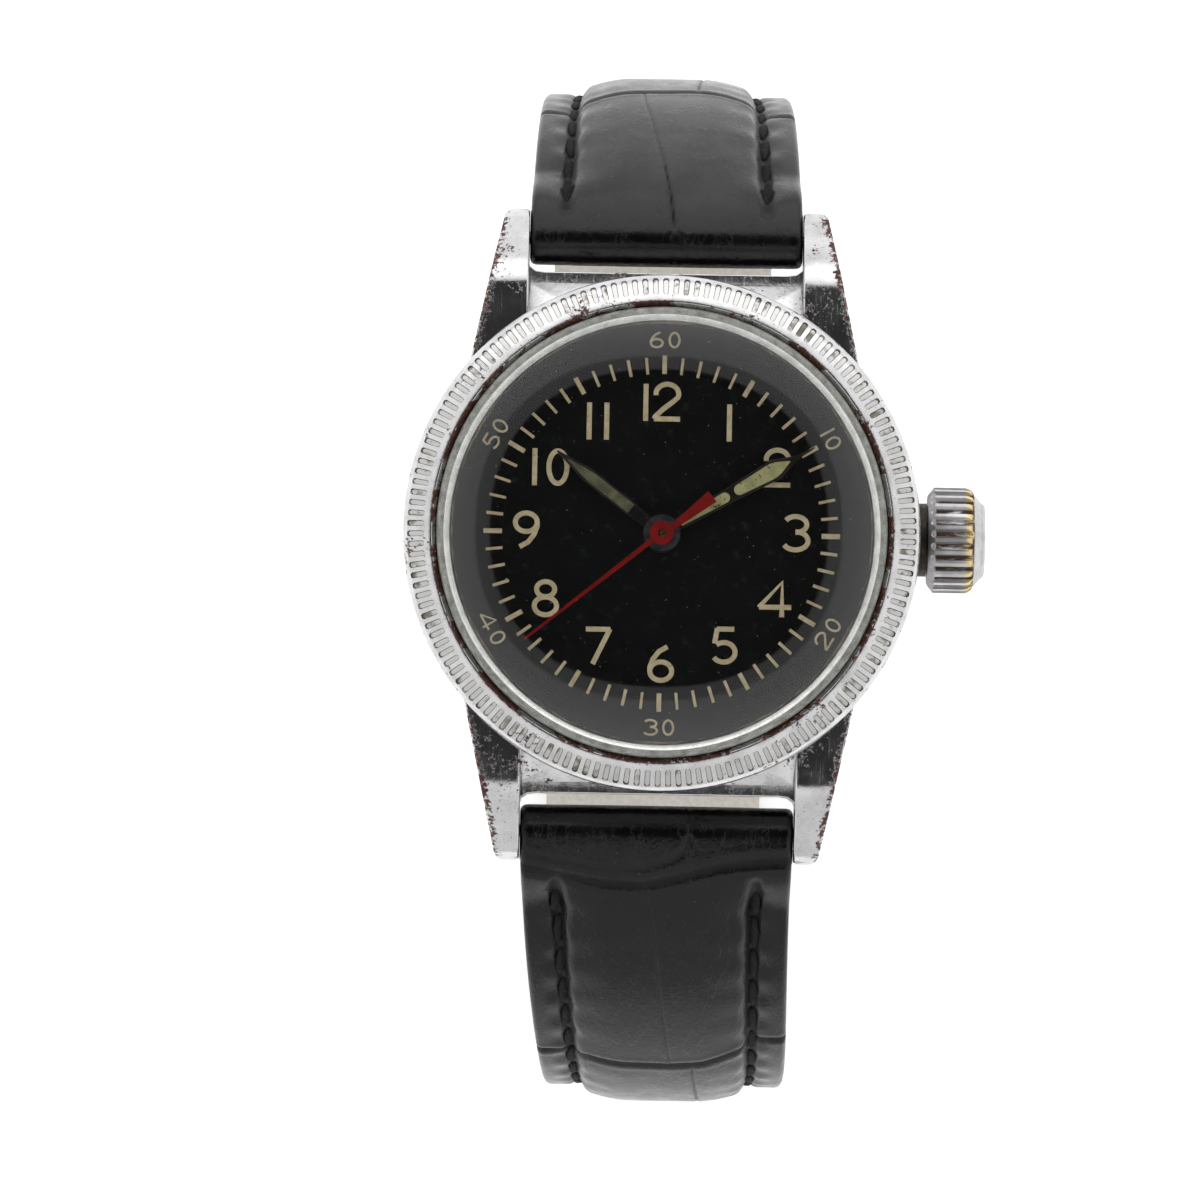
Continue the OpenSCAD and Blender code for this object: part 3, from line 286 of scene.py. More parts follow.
def times(look, a, b):
    return maths(look, "MULTIPLY", a, b)


def plus(look, a, b):
    return maths(look, "ADD", a, b)


def mixColour(look, factor, first, second):
    def full(colour):
        return colour if isinstance(colour, bpy.types.NodeSocket) else (*colour, 1)
    node = addNode(look, "ShaderNodeMix", {0: factor, 6: full(first), 7: full(second)}, data_type="RGBA")
    return node.outputs[2]


def addBump(look, height, depth, strength=1.0, last=None):
    inputs = {"Height": height, "Distance": depth * mm, "Strength": strength}
    if last:
        inputs["Normal"] = last
    normal = addNode(look, "ShaderNodeBump", inputs).outputs[0]
    wire(look, "Normal", normal)
    return normal


def axisPlace(look):
    return addNode(look, "ShaderNodeSeparateXYZ", {0: objectPlace(look)}).outputs


def radiusOf(look, a, b):
    squares = plus(look, times(look, a, a), times(look, b, b))
    return maths(look, "DIVIDE", maths(look, "SQRT", squares), mm)


# Camera, floor and light

view = {"distance": 650, "field": 74.7, "tilt": 2.0, "roll": 1.0, "right": 3.86, "up": 4.23, "aim": 9.0, "sensor": 36}
tilt, roll = math.radians(view["tilt"]), math.radians(view["roll"])
right = Vector((math.cos(roll), math.sin(roll), 0))
up = Vector((-math.sin(roll), math.cos(roll), 0))
aim = Vector((0, 0, view["aim"])) - right * view["right"] - up * view["up"]
eye = aim + (Vector((0, 0, math.cos(tilt))) - up * math.sin(tilt)) * view["distance"]
bpy.ops.object.camera_add(location=eye * mm, rotation=(tilt, 0, roll))
camera = nameActive("camera")
camera.data.sensor_width = view["sensor"]
camera.data.lens = view["sensor"] * view["distance"] / view["field"]
camera.data.clip_start = 0.02
bpy.context.scene.camera = camera

floor = {"z": -50.05, "size": 1600, "colour": (0.93, 0.93, 0.93), "glow": 0.42}
bpy.ops.mesh.primitive_plane_add(size=floor["size"] * mm, location=(0, 0, floor["z"] * mm))
floorPiece = nameActive("floor")
floorLook = newLook("paleFloor", floor["colour"], 0.8, 0, {"Emission Color": (1, 1, 1, 1),
                                                           "Emission Strength": floor["glow"]})
floorPiece.data.materials.append(floorLook)

# A white tent all round, with a dark round opening over the watch for the camera. It is brighter beyond
# 12 o'clock, with a soft box there, and dimmer beyond 6.
tent = {"bright": 1.05, "dark": 0.03, "half": 0.435, "soft": 0.006, "shiftX": -0.003, "shiftY": 0.058, "wideX": 0.967,
        "wideY": 1.036, "power": 2.3, "dim": 0.66, "dimTo": 0.62, "slope": 0.10, "box": 0.75, "boxY": (0.45, 0.75),
        "boxZ": (0.22, 0.42), "low": 0.11, "lowY": (-0.45, -0.75), "horizon": 0.001}
world = bpy.data.worlds.new("tent")
bpy.context.scene.world = world
world.use_nodes = True
way = addNode(world, "ShaderNodeSeparateXYZ", {0: addNode(world, "ShaderNodeTexCoord").outputs["Generated"]}).outputs
high = maths(world, "MAXIMUM", way[2], tent["horizon"])
corner = None
for axis, shift, wide in ((0, tent["shiftX"], tent["wideX"]), (1, tent["shiftY"], tent["wideY"])):
    across = maths(world, "SUBTRACT", maths(world, "DIVIDE", way[axis], high), shift)
    across = maths(world, "POWER", maths(world, "ABSOLUTE", times(world, across, wide)), tent["power"])
    corner = plus(world, corner, across) if corner else across
reach = maths(world, "POWER", corner, 1 / tent["power"])
opening = spread(world, reach, tent["half"] - tent["soft"], tent["half"] + tent["soft"])
cloth = spread(world, reach, tent["half"], tent["dimTo"], tent["bright"] * tent["dim"], tent["bright"])
softBox = times(world, spread(world, way[1], *tent["boxY"]), spread(world, way[2], *tent["boxZ"]))
softBox = times(world, softBox, tent["box"])
lean = maths(world, "SUBTRACT", times(world, way[1], tent["slope"]),
             spread(world, way[1], *tent["lowY"], 0.0, tent["low"]))
cloth = times(world, cloth, plus(world, plus(world, 1.0, lean), softBox))
tentLight = maths(world, "MAXIMUM", times(world, cloth, opening), tent["dark"])
background = world.node_tree.nodes["Background"]
background.inputs["Color"].default_value = (1, 1, 1, 1)
world.node_tree.links.new(tentLight, background.inputs["Strength"])
bpy.context.scene.view_settings.view_transform = "Standard"
print("camera, floor and light are set")


# Metals

chrome = {"colour": (0.66, 0.655, 0.665), "rust": (0.055, 0.016, 0.010), "dull": (0.34, 0.33, 0.31)}


# Worn chrome: wear is a socket from 0 to 1 that says where the plating has gone
def chromeLook(name, wearMaker, rough=0.13, specks=0.60):
    look = newLook(name, chrome["colour"], rough, 1.0)
    wear = wearMaker(look)
    fine = noise(look, 0.26, 8, 0.72)
    groups = patches(look, (2.2, 4, 0.6), 0.48, 0.66)
    amount = plus(look, fine, times(look, groups, 0.10))
    amount = plus(look, amount, times(look, wear, 0.27))
    rust = spread(look, amount, specks + 0.135, specks + 0.165)
    haze = patches(look, (1.6, 5, 0.6), 0.35, 0.75)
    colour = mixColour(look, times(look, haze, 0.40), chrome["colour"], chrome["dull"])
    spots = patches(look, (0.16, 3, 0.6), 0.66, 0.70)
    colour = mixColour(look, times(look, spots, 0.6), colour, (0.12, 0.10, 0.085))
    rustColour = mixColour(look, patches(look, (0.3, 3), 0.50, 0.72), chrome["rust"], (0.17, 0.055, 0.028))
    wire(look, "Base Color", mixColour(look, rust, colour, rustColour))
    wire(look, "Metallic", maths(look, "SUBTRACT", 1.0, times(look, rust, 0.9)))
    scratches = patches(look, (0.12, 3, 0.5, (1, 0.06, 1)), 0.55, 0.72)
    scuffs = plus(look, times(look, scratches, 0.10), times(look, haze, 0.10))
    wire(look, "Roughness", plus(look, plus(look, scuffs, rough), times(look, rust, 0.45)))
    dents = addBump(look, noise(look, 0.9, 5, 0.6), 0.016)
    addBump(look, maths(look, "SUBTRACT", 1.0, rust), 0.014, 0.8, dents)
    return look


def plainMetal(name, colour, rough=0.3, grain=0.5):
    look = newLook(name, colour, rough, 1.0)
    tone = patches(look, (grain, 4), 0.3, 0.7)
    wire(look, "Base Color", mixColour(look, tone, colour, [c * 0.78 for c in colour]))
    wire(look, "Roughness", patches(look, (grain * 0.4, 3, 0.5, (1, 0.15, 1)), 0.3, 0.7, rough * 0.75, rough * 1.3))
    addBump(look, noise(look, grain * 0.3, 3), 0.002)
    return look


def softLook(name, colour, second, rough, grain, depth=0.01):
    look = newLook(name, colour, rough)
    wire(look, "Base Color", mixColour(look, patches(look, (grain, 5), 0.3, 0.7), colour, second))
    wire(look, "Roughness", patches(look, (grain * 1.7, 3), 0.3, 0.7, rough * 0.85, min(1, rough * 1.15)))
    addBump(look, noise(look, grain * 0.6, 4), depth)
    return look


# Middle case: a drum with straight walls between the lugs, and four lugs that taper to round tips. The top of
# each wall slopes down between its two lines, and is level beyond them.

case = {"drumR": 15.5, "bottom": 1.2, "top": 7.0, "collarR": 14.9, "collarTop": 8.0, "wallY": 16.3,
        "lugIn": 8.6, "tipOut": 10.25, "tipY": 20.5, "rootOut": 12.0, "rootY": 11.4, "barY": 18.65, "barZ": 2.5,
        "tipR": 1.85, "lugEdge": 0.42, "boreR": 13.8, "ledgeR": 13.2, "ledgeZ": 6.42, "seatZ": 7.2, "glassR": 14.27,
        "backR": 13.95, "backZ": 1.6, "lugBlank": 4.2, "tipCorner": 0.8, "wallZ": 1.5, "wallHigh": 5.43,
        "wallLines": (13.7, 15.62), "wallDish": 0.62, "tubeHole": 1.12, "tubeX": 15, "tubeZ": 3.8, "barHole": 0.45,
        "barLong": 19.2, "drillR": 13.75, "mouthR": 13.18, "drillGap": 0.02}


def cubicPoint(p, t):
    weights = ((1 - t) ** 3, 3 * t * (1 - t) ** 2, 3 * t * t * (1 - t), t ** 3)
    return tuple(sum(w * q[k] for w, q in zip(weights, p)) for k in range(len(p[0])))


def makeLug():
    top = [(19.5, 4.05), (18.1, 5.3), (17.2, 6.72), (15.4, 6.93)]
    outline = [(9.5, 1.3), (14.5, 0.85)] + arc(case["barY"], case["barZ"], case["tipR"], -90, 52, 14)
    outline += [cubicPoint(top, i / 12) for i in range(1, 13)] + [(9.5, 6.93)]
    lug = drawOutline("lug", [(case["lugIn"], y, z) for y, z in outline])
    pullOut(case["lugBlank"], 0, 0)
    bpy.ops.mesh.select_all(action="SELECT")
    slope = Vector((case["tipOut"] - case["rootOut"], case["tipY"] - case["tipCorner"] - case["rootY"], 0)).normalized()
    cuts = [((case["rootOut"], case["rootY"]), (slope.y, -slope.x))]
    for r, x, turns in ((0.95, case["tipOut"] - 1.0, (26, 46, 68)), (0.4, case["lugIn"] + 0.4, (120, 150))):
        for turn in turns:
            out = (math.cos(math.radians(turn)), math.sin(math.radians(turn)))
            cuts.append(((x + r * out[0], case["tipY"] - r + r * out[1]), out))
    for (x, y), (nx, ny) in cuts:
        bpy.ops.mesh.select_all(action="SELECT")
        bpy.ops.mesh.bisect(plane_co=(x * mm, y * mm, 0), plane_no=(nx, ny, 0), use_fill=True, clear_outer=True)
    cleanMesh()
    addBevel(lug, case["lugEdge"], 5, 50)
    return lug


def makeCase():
    body = spinPiece("caseMiddle", [
        (case["backR"], case["bottom"]), (15.3, case["bottom"]), (case["drumR"], 1.4), (case["drumR"], 6.8),
        (15.3, case["top"]), (case["collarR"], case["top"]), (case["collarR"], 7.95), (14.85, case["collarTop"]),
        (case["glassR"], case["collarTop"]), (case["glassR"], case["seatZ"]), (case["ledgeR"], case["seatZ"]),
        (case["ledgeR"], case["ledgeZ"]), (case["boreR"], case["ledgeZ"]), (case["boreR"], case["backZ"]),
        (case["backR"], case["backZ"])])
    walls = []
    for side in (1, -1):
        plan = [(-8.63, 13.0), (8.63, 13.0), (8.63, 17.0), (8.5, 16.62), (8.15, 16.37), (7.6, case["wallY"]),
                (-7.6, case["wallY"]), (-8.15, 16.37), (-8.5, 16.62), (-8.63, 17.0)]
        wall = drawOutline("wall", [(x, y * side, case["wallZ"]) for x, y in plan])
        pullOut(0, 0, case["wallHigh"])
        for y in case["wallLines"]:
            bpy.ops.mesh.select_all(action="SELECT")
            bpy.ops.mesh.bisect(plane_co=(0, y * side * mm, 0), plane_no=(0, side, 0))
        cleanMesh()
        editMode()
        pickFaces(wall, lambda c, n: n.z > 0.9 and abs(c.y) > case["wallLines"][1])
        bpy.ops.transform.translate(value=(0, 0, -case["wallDish"] * mm))
        objectMode()
        addBevel(wall, 0.12, 3, 60)
        walls.append(wall)
    lugs = [makeLug()]
    for turnX, turnY in ((-1, 1), (1, -1), (-1, -1)):
        pickOnly(lugs[0])
        bpy.ops.object.duplicate(linked=False)
        copy = bpy.context.object
        copy.scale = (turnX, turnY, 1)
        bpy.ops.object.transform_apply(location=False, rotation=False, scale=True)
        editMode()
        cleanMesh()
        lugs.append(copy)
    joinSolids(body, walls + lugs)
    drillR, mouthR, drillTop = case["drillR"], case["mouthR"], case["ledgeZ"] - case["drillGap"]
    drill = spinPiece("drill", [(0, -1), (drillR, -1), (drillR, drillTop), (0, drillTop)], 96)
    top = spinPiece("drill", [(0, 6), (mouthR, 6), (mouthR, 12), (0, 12)], 96)
    joinSolids(body, [drill, top], "DIFFERENCE")
    cutHole(body, case["tubeHole"], 6, (case["tubeX"], 0, case["tubeZ"]), 48)
    for side in (1, -1):
        cutHole(body, case["barHole"], case["barLong"], (0, side * case["barY"], case["barZ"]))
    return body


# The plating is worn off along the outer edge of the lugs, which slants in to the tip
def caseWear(look):
    x, y, z = axisPlace(look)[:3]
    x, y = maths(look, "ABSOLUTE", x), maths(look, "ABSOLUTE", y)
    wayX, wayY = 976.5, 216.3  # square to the lug's outer edge, from metres to millimetres
    across = plus(look, times(look, x, wayX), times(look, y, wayY))
    edge = spread(look, across, 13.2, 14.25)
    flank = spread(look, y, 9.0 * mm, 12.5 * mm, 0.45, 1.0)
    edge = times(look, edge, times(look, flank, spread(look, z, 2.0 * mm, 4.4 * mm, 0.25, 1.0)))
    broad = patches(look, (3.0, 3), 0.42, 0.62)
    return maths(look, "MAXIMUM", edge, times(look, broad, 0.55))


caseLook = chromeLook("caseChrome", caseWear, 0.12)
casePiece = finishPiece(makeCase(), "head", caseLook, ["case_body"], 30)
print("case:", len(casePiece.data.polygons), "faces")


# Bezel: one groove and its two half lands are modelled, and the sector is repeated all round

bezel = {"grooves": 150, "grooveIn": 14.84, "grooveOut": 15.88, "cap": 0.08, "deep": 0.10, "wall": 0.04,
         "parts": (0.22, 0.08, 0.40, 0.08, 0.22), "narrow": 0.18, "broad": 0.31, "outerR": 16.14, "rimR": 16.13,
         "rimZ": (7.4, 7.75), "faceZ": 8.3}


def makeBezel():
    step = 360 / bezel["grooves"]
    first, last, cap = bezel["grooveIn"], bezel["grooveOut"], bezel["cap"]
    profile = [(14.94, 7.05), (15.93, 7.05), (16.15, 7.28), (16.15, 7.86), (16.12, 8.04), (16.04, 8.2), (last, 8.38),
               (last - cap, 8.46), (15.3, 8.72), (first + cap, 8.885), (first, 8.92), (14.6, 9.0), (14.44, 9.045),
               (14.38, 9.05), (14.30, 9.01), (14.14, 8.84), (14.10, 8.70), (14.10, 8.25), (14.94, 8.25)]
    piece = drawOutline("bezelRing", [(r, 0, z) for r, z in profile])
    for part in bezel["parts"]:
        bpy.ops.mesh.spin(steps=1, angle=math.radians(step * part), center=(0, 0, 0), axis=(0, 0, 1))
    cleanMesh()
    outward = [f for f in piece.data.polygons if math.hypot(f.center.x, f.center.y) > bezel["outerR"] * mm]
    if outward[0].normal.x < 0:
        editMode()
        bpy.ops.mesh.select_all(action="SELECT")
        bpy.ops.mesh.flip_normals()
        objectMode()
    middle = math.radians(step / 2)
    narrow, broad = math.radians(step * bezel["narrow"]), math.radians(step * bezel["broad"])

    lowZ, highZ = bezel["rimZ"]

    def inGroove(c, n):
        off = abs(abs(math.atan2(c.y, c.x)) - middle)
        r = math.hypot(c.x, c.y)
        ends = first < r < last and off < narrow
        sides = first + cap < r < last - cap and off < broad
        return c.z > bezel["faceZ"] and (ends or sides) or r > bezel["rimR"] and lowZ < c.z < highZ and off < broad
    editMode()
    pickFaces(piece, inGroove)
    bpy.ops.mesh.inset(thickness=bezel["wall"] * mm, depth=-bezel["deep"] * mm)
    objectMode()
    floorFaces = {f.index for f in piece.data.polygons if f.select}
    editMode()
    bpy.ops.mesh.select_more()
    objectMode()
    wallFaces = {f.index for f in piece.data.polygons if f.select} - floorFaces
    print("one groove has", len(floorFaces), "floor faces and", len(wallFaces), "wall faces")
    for look in (bezelLook, grooveLook, grooveWallShadeDirtLook):
        piece.data.materials.append(look)
    for index in floorFaces:
        piece.data.polygons[index].material_index = 1
    # The groove walls take the look with painted shade
    for index in wallFaces:
        piece.data.polygons[index].material_index = 2
    bpy.ops.object.empty_add(rotation=(0, 0, math.radians(step)))
    turner = bpy.context.object
    pickOnly(piece)
    around = piece.modifiers.new("around", "ARRAY")
    around.count = bezel["grooves"]
    around.use_relative_offset = False
    around.use_object_offset = True
    around.offset_object = turner
    around.use_merge_vertices = True
    around.use_merge_vertices_cap = True
    around.merge_threshold = 0.01 * mm
    bpy.ops.object.modifier_apply(modifier="around")
    pickOnly(turner)
    bpy.ops.object.delete()
    return piece


def bezelWear(look):
    radius = radiusOf(look, *axisPlace(look)[:2])
    ragged = plus(look, radius, times(look, noise(look, 0.5, 5, 0.65), 0.6))
    lip = times(look, spread(look, ragged, 14.78, 14.70), patches(look, (2.4, 4), 0.40, 0.54, 0.3, 1.3))
    rim = times(look, spread(look, radius, 15.95, 16.12), 0.45)
    broad = times(look, patches(look, (4.0, 3), 0.47, 0.64), 0.55)
    return maths(look, "MAXIMUM", maths(look, "MAXIMUM", lip, rim), broad)


def makeGrooveLook(name, clean, dirty, low):
    look = newLook(name, clean, 0.4, 1.0)
    grime = patches(look, (1.3, 5, 0.65), low, low + 0.16)
    wire(look, "Base Color", mixColour(look, grime, clean, dirty))
    wire(look, "Roughness", spread(look, grime, 0, 1, 0.24, 0.75))
    wire(look, "Metallic", spread(look, grime, 0, 1, 1.0, 0.25))
    addBump(look, noise(look, 0.15, 3), 0.006)
    return look


bezelLook = chromeLook("bezelChrome", bezelWear, 0.13, 0.60)
grooveLook = makeGrooveLook("bezelGrooves", (0.52, 0.515, 0.50), (0.22, 0.20, 0.15), 0.53)
# Painted shade: the groove walls are coloured much darker than the floors, with dirt patches darker still
grooveWallShadeDirtLook = makeGrooveLook("bezelGrooveWallsShadeAndDirt", (0.24, 0.23, 0.20), (0.05, 0.042, 0.028), 0.44)
bezelPiece = finishPiece(makeBezel(), "head", None, ["bezel"], 38)
print("bezel:", len(bezelPiece.data.polygons), "faces")


# Crystal, its dull edge, and the bright tension ring inside it

crystal = {"domeTop": 11.5, "rimZ": 9.696, "domeR": 13.6, "wallR": 14.05, "innerR": 12.9, "innerTop": 10.3,
           "innerZ": 8.75, "flangeR": 14.25, "flangeZ": 8.2, "seatZ": 7.2, "boreR": 13.62, "dullFrom": 13.66}


def domeArc(rim, rimZ, topZ, steps):
    rise = topZ - rimZ
    r = (rim ** 2 + rise ** 2) / (2 * rise)
    return arc(0, topZ - r, r, 90, math.degrees(math.acos(rim / r)), steps)


def makeCrystal():
    outer = domeArc(crystal["domeR"], crystal["rimZ"], crystal["domeTop"], 26)
    outer[0] = (0, crystal["domeTop"])
    inner = domeArc(crystal["innerR"], crystal["innerZ"], crystal["innerTop"], 22)
    inner[0] = (0, crystal["innerTop"])
    wall, flange, bore, seatZ = crystal["wallR"], crystal["flangeR"], crystal["boreR"], crystal["seatZ"]
    edge = [(13.74, 9.64), (13.85, 9.56), (13.95, 9.42), (wall, 9.15), (wall, 8.22), (flange, crystal["flangeZ"]),
            (flange, seatZ), (bore, seatZ), (bore, 8.47), (13.30, 8.64)]
    piece = spinPiece("crystalDome", outer + edge + inner[::-1], 160)
    piece.data.materials.append(glassLook)
    piece.data.materials.append(glassEdgeLook)
    for face in piece.data.polygons:
        if math.hypot(face.center.x, face.center.y) > crystal["dullFrom"] * mm:
            face.material_index = 1
    return piece


glassLook = newLook("agedAcrylic", (0.97, 0.975, 0.96), 0.0, 0, {"Transmission Weight": 1.0, "IOR": 1.49})
specks = patches(glassLook, (0.18, 2, 0.4), 0.775, 0.80)
wire(glassLook, "Roughness", spread(glassLook, specks, 0, 1, 0.0, 0.3))

glassEdgeLook = newLook("acrylicEdge", (0.36, 0.38, 0.34), 0.32, 0, {"Transmission Weight": 0.25, "IOR": 1.49})
grime = patches(glassEdgeLook, (0.6, 5, 0.7), 0.35, 0.7)
wire(glassEdgeLook, "Base Color", mixColour(glassEdgeLook, grime, (0.33, 0.335, 0.31), (0.13, 0.13, 0.105)))
wire(glassEdgeLook, "Roughness", patches(glassEdgeLook, (0.3, 3), 0.3, 0.7, 0.22, 0.5))

finishPiece(makeCrystal(), "head", None, ["crystal"], 40)

ring = spinPiece("tensionRing", [(13.1, 7.21), (13.58, 7.21), (13.58, 8.40), (13.55, 8.45), (13.49, 8.44),
                                 (13.00, 8.06), (12.95, 7.7), (12.95, 7.3)], 160)
ringLook = plainMetal("ringChrome", (0.97, 0.97, 0.96), 0.20, 0.8)
finishPiece(ring, "head", ringLook, ["tension_ring"], 50)
print("crystal and tension ring are made")


# Dial: a matte black face with specks, printed in cream

dialTop = 6.40
dialLook = newLook("dialBlack", (0.006, 0.006, 0.006), 0.8, 0, {"Specular IOR Level": 0.06})
mottle = patches(dialLook, (0.9, 6, 0.7), 0.54, 0.80)
dust = patches(dialLook, (0.085, 2, 0.4), 0.745, 0.78)
groups = patches(dialLook, (1.5, 4, 0.6), 0.54, 0.64)
dialColour = mixColour(dialLook, mottle, (0.0048, 0.0048, 0.0050), (0.022, 0.034, 0.033))
dustiness = times(dialLook, dust, plus(dialLook, 0.03, times(dialLook, groups, 0.65)))
wire(dialLook, "Base Color", mixColour(dialLook, dustiness, dialColour, (0.32, 0.46, 0.44)))
addBump(dialLook, noise(dialLook, 0.5, 4), 0.006)
dressNode("dial", dialLook)

inkLook = newLook("creamInk", (0.74, 0.62, 0.40), 0.55)
inkTone = mixColour(inkLook, patches(inkLook, (0.5, 4), 0.3, 0.7), (0.82, 0.70, 0.46), (0.66, 0.53, 0.31))
inkSpot = patches(inkLook, (0.22, 3, 0.6), 0.66, 0.72)
wire(inkLook, "Base Color", mixColour(inkLook, inkSpot, inkTone, (0.20, 0.12, 0.06)))
addBump(inkLook, noise(inkLook, 0.12, 3), 0.008)


# Part of an upright ellipse, its middle at a height on the figure's centre line
def bow(wide, high, middle, start, end, steps):
    return [(x * wide, y * high + middle) for x, y in arc(0, 0, 1, start, end, steps)]


# Stroke centre lines of the figures in a cell 1 high, and each figure's width
figures = {
    "0": (0.50, [bow(0.215, 0.44, 0, 90, 450, 28)]),
    "1": (0.10, [[(0, 0.5), (0, -0.5)]]),
    "2": (0.60, [[(-0.265, 0.20)] + bow(0.27, 0.265, 0.235, 170, -20, 14)
                 + [(0.13, 0.02), (-0.10, -0.18), (-0.28, -0.38), (-0.30, -0.44)], [(-0.31, -0.44), (0.31, -0.44)]]),
    "3": (0.62, [bow(0.265, 0.215, 0.235, 150, -90, 16), bow(0.30, 0.245, -0.205, 90, -152, 16)]),
    "4": (0.76, [[(0.16, -0.5), (0.16, 0.44), (-0.36, -0.21), (-0.36, -0.235)], [(-0.38, -0.235), (0.38, -0.235)]]),
    "5": (0.58, [[(0.24, 0.44), (-0.17, 0.44)], [(-0.16, 0.46), (-0.22, 0.05)],
                 bow(0.27, 0.265, -0.185, 130, -148, 18)]),
    "6": (0.60, [bow(0.26, 0.25, -0.20, 0, 360, 24),
                 [(0.15, 0.46), (-0.05, 0.33), (-0.19, 0.12), (-0.26, -0.10), (-0.26, -0.20)]]),
    "7": (0.60, [[(-0.30, 0.44), (0.28, 0.44)], [(0.27, 0.45), (-0.13, -0.5)]]),
    "8": (0.58, [bow(0.215, 0.205, 0.245, 0, 360, 22), bow(0.265, 0.24, -0.205, 0, 360, 24)]),
}
figures["9"] = (0.60, [[(-x, -y) for x, y in stroke] for stroke in figures["6"][1]])

dial = {"numeralHigh": 2.30, "numeralWide": 2.62, "numeralLine": 0.31, "numeralGaps": {10: 0.63, 11: 0.77, 12: 0.38},
        "raised": 0.02, "outerHigh": 1.02, "outerWide": 1.42, "outerLine": 0.145, "outerGap": 0.32, "outerR": 12.02,
        "tickIn": 9.9, "tickOut": 10.95, "tickWide": 0.19, "fiveOut": 11.05, "fiveWide": 0.30}
numeralPlace = {1: (4.07, 6.93), 2: (7.09, 4.15), 3: (8.28, 0.17), 4: (7.09, -3.9), 5: (3.96, -6.86), 6: (0.08, -8.06),
                7: (-3.81, -7.0), 8: (-7.13, -4.13), 9: (-8.4, 0.1), 10: (-6.97, 4.01), 11: (-4.07, 6.91),
                12: (-0.15, 8.12)}


# A number printed flat on the dial, upright at the origin
def drawNumber(name, text, high, wide, line, gap):
    advance = []
    for figure in text:
        advance.append(line if figure == "1" else figures[figure][0] * wide)
    total = sum(advance) + gap * (len(text) - 1)
    bpy.ops.object.select_all(action="DESELECT")
    bpy.ops.curve.primitive_nurbs_path_add()
    piece = nameActive(name)
    data = piece.data
    data.splines.clear()
    x = -total / 2
    for figure, width in zip(text, advance):
        middle = x + width / 2
        for stroke in figures[figure][1]:
            ring = stroke[0] == stroke[-1] or math.dist(stroke[0], stroke[-1]) < 0.001
            points = stroke[:-1] if ring else stroke
            spline = data.splines.new("POLY")
            spline.points.add(len(points) - 1)
            spline.use_cyclic_u = ring
            for point, (px, py) in zip(spline.points, points):
                point.co = ((middle + px * wide) * mm, py * high * mm, 0, 1)
        x += width + gap
    data.dimensions = "3D"
    data.bevel_depth = line / 2 * mm
    data.bevel_resolution = 2
    data.use_fill_caps = True
    bpy.ops.object.convert(target="MESH")
    bpy.context.object.scale = (1, 1, dial["raised"] * 2 / line)
    bpy.ops.object.transform_apply(location=False, rotation=False, scale=True)
    return bpy.context.object


def placeOnDial(piece, x, y, turn=0.0):
    piece.location = (x * mm, y * mm, dialTop * mm)
    piece.rotation_euler = (0, 0, math.radians(turn))
    pickOnly(piece)
    bpy.ops.object.transform_apply(location=True, rotation=True, scale=True)


numerals = []
for hour in range(1, 13):
    number = drawNumber("hours", str(hour), dial["numeralHigh"], dial["numeralWide"], dial["numeralLine"],
                        dial["numeralGaps"].get(hour, 0))
    placeOnDial(number, *numeralPlace[hour])
    numerals.append(number)
finishPiece(joinAll(numerals, "dialHours"), "head", inkLook, angle=60)

seconds = []
for value in (10, 20, 30, 40, 50, 60):
    number = drawNumber("outer", str(value), dial["outerHigh"], dial["outerWide"], dial["outerLine"], dial["outerGap"])
    a = 90 - value * 6
    inwards = value in (20, 30, 40)
    placeOnDial(number, dial["outerR"] * math.cos(math.radians(a)), dial["outerR"] * math.sin(math.radians(a)),
                a + 90 if inwards else a - 90)
    seconds.append(number)
finishPiece(joinAll(seconds, "dialSeconds"), "head", inkLook, angle=60)

ticks = []
for minute in range(60):
    five = minute % 5 == 0
    outer = dial["fiveOut"] if five else dial["tickOut"]
    wide = dial["fiveWide"] if five else dial["tickWide"]
    bpy.ops.mesh.primitive_cube_add(size=1, location=(0, 0, 0))
    tick = nameActive("tick")
    tick.scale = ((outer - dial["tickIn"]) * mm, wide * random.uniform(0.92, 1.08) * mm, 2 * dial["raised"] * mm)
    bpy.ops.object.transform_apply(location=False, rotation=False, scale=True)
    a = 90 - minute * 6
    r = (outer + dial["tickIn"]) / 2
    placeOnDial(tick, r * math.cos(math.radians(a)), r * math.sin(math.radians(a)), a)
    ticks.append(tick)
track = joinAll(ticks, "dialTrack")
addBevel(track, 0.015, 1, 30)
finishPiece(track, "head", inkLook, angle=60)
print("dial is printed")

# Hands: dark steel frames with aged lume in them

hand = {"thick": 0.14, "bevel": 0.03, "lumeHigh": 0.05, "hourZ": 6.85, "minuteZ": 7.25, "secondZ": 7.7,
        "hourTurn": 307.3, "minuteTurn": 59.8, "secondTurn": 231.3, "hourBore": 0.79, "secondThick": 0.12,
        "secondBevel": 0.02, "secondBore": 0.25}


def bothSides(points):
    return points + [(-x, y) for x, y in reversed(points) if x > 0]


# A flat outline in X and Y given a thickness, its edges softened
def makePlate(name, outline, z, thick, bevel):
    plate = drawOutline(name, [(x, y, z) for x, y in outline])
    pullOut(0, 0, thick)
    cleanMesh()
    if bevel:
        addBevel(plate, bevel, 2, 40)
    return plate


def turnHand(piece, clockwise):
    pickOnly(piece)
    piece.rotation_euler = (0, 0, -math.radians(clockwise))
    bpy.ops.object.transform_apply(location=True, rotation=True, scale=True)


def makeHub(name, outer, inner, z, high):
    return spinPiece(name, [(inner, z), (outer, z), (outer, z + high - 0.03), (outer - 0.03, z + high),
                            (inner + 0.03, z + high), (inner, z + high - 0.03)], 64)


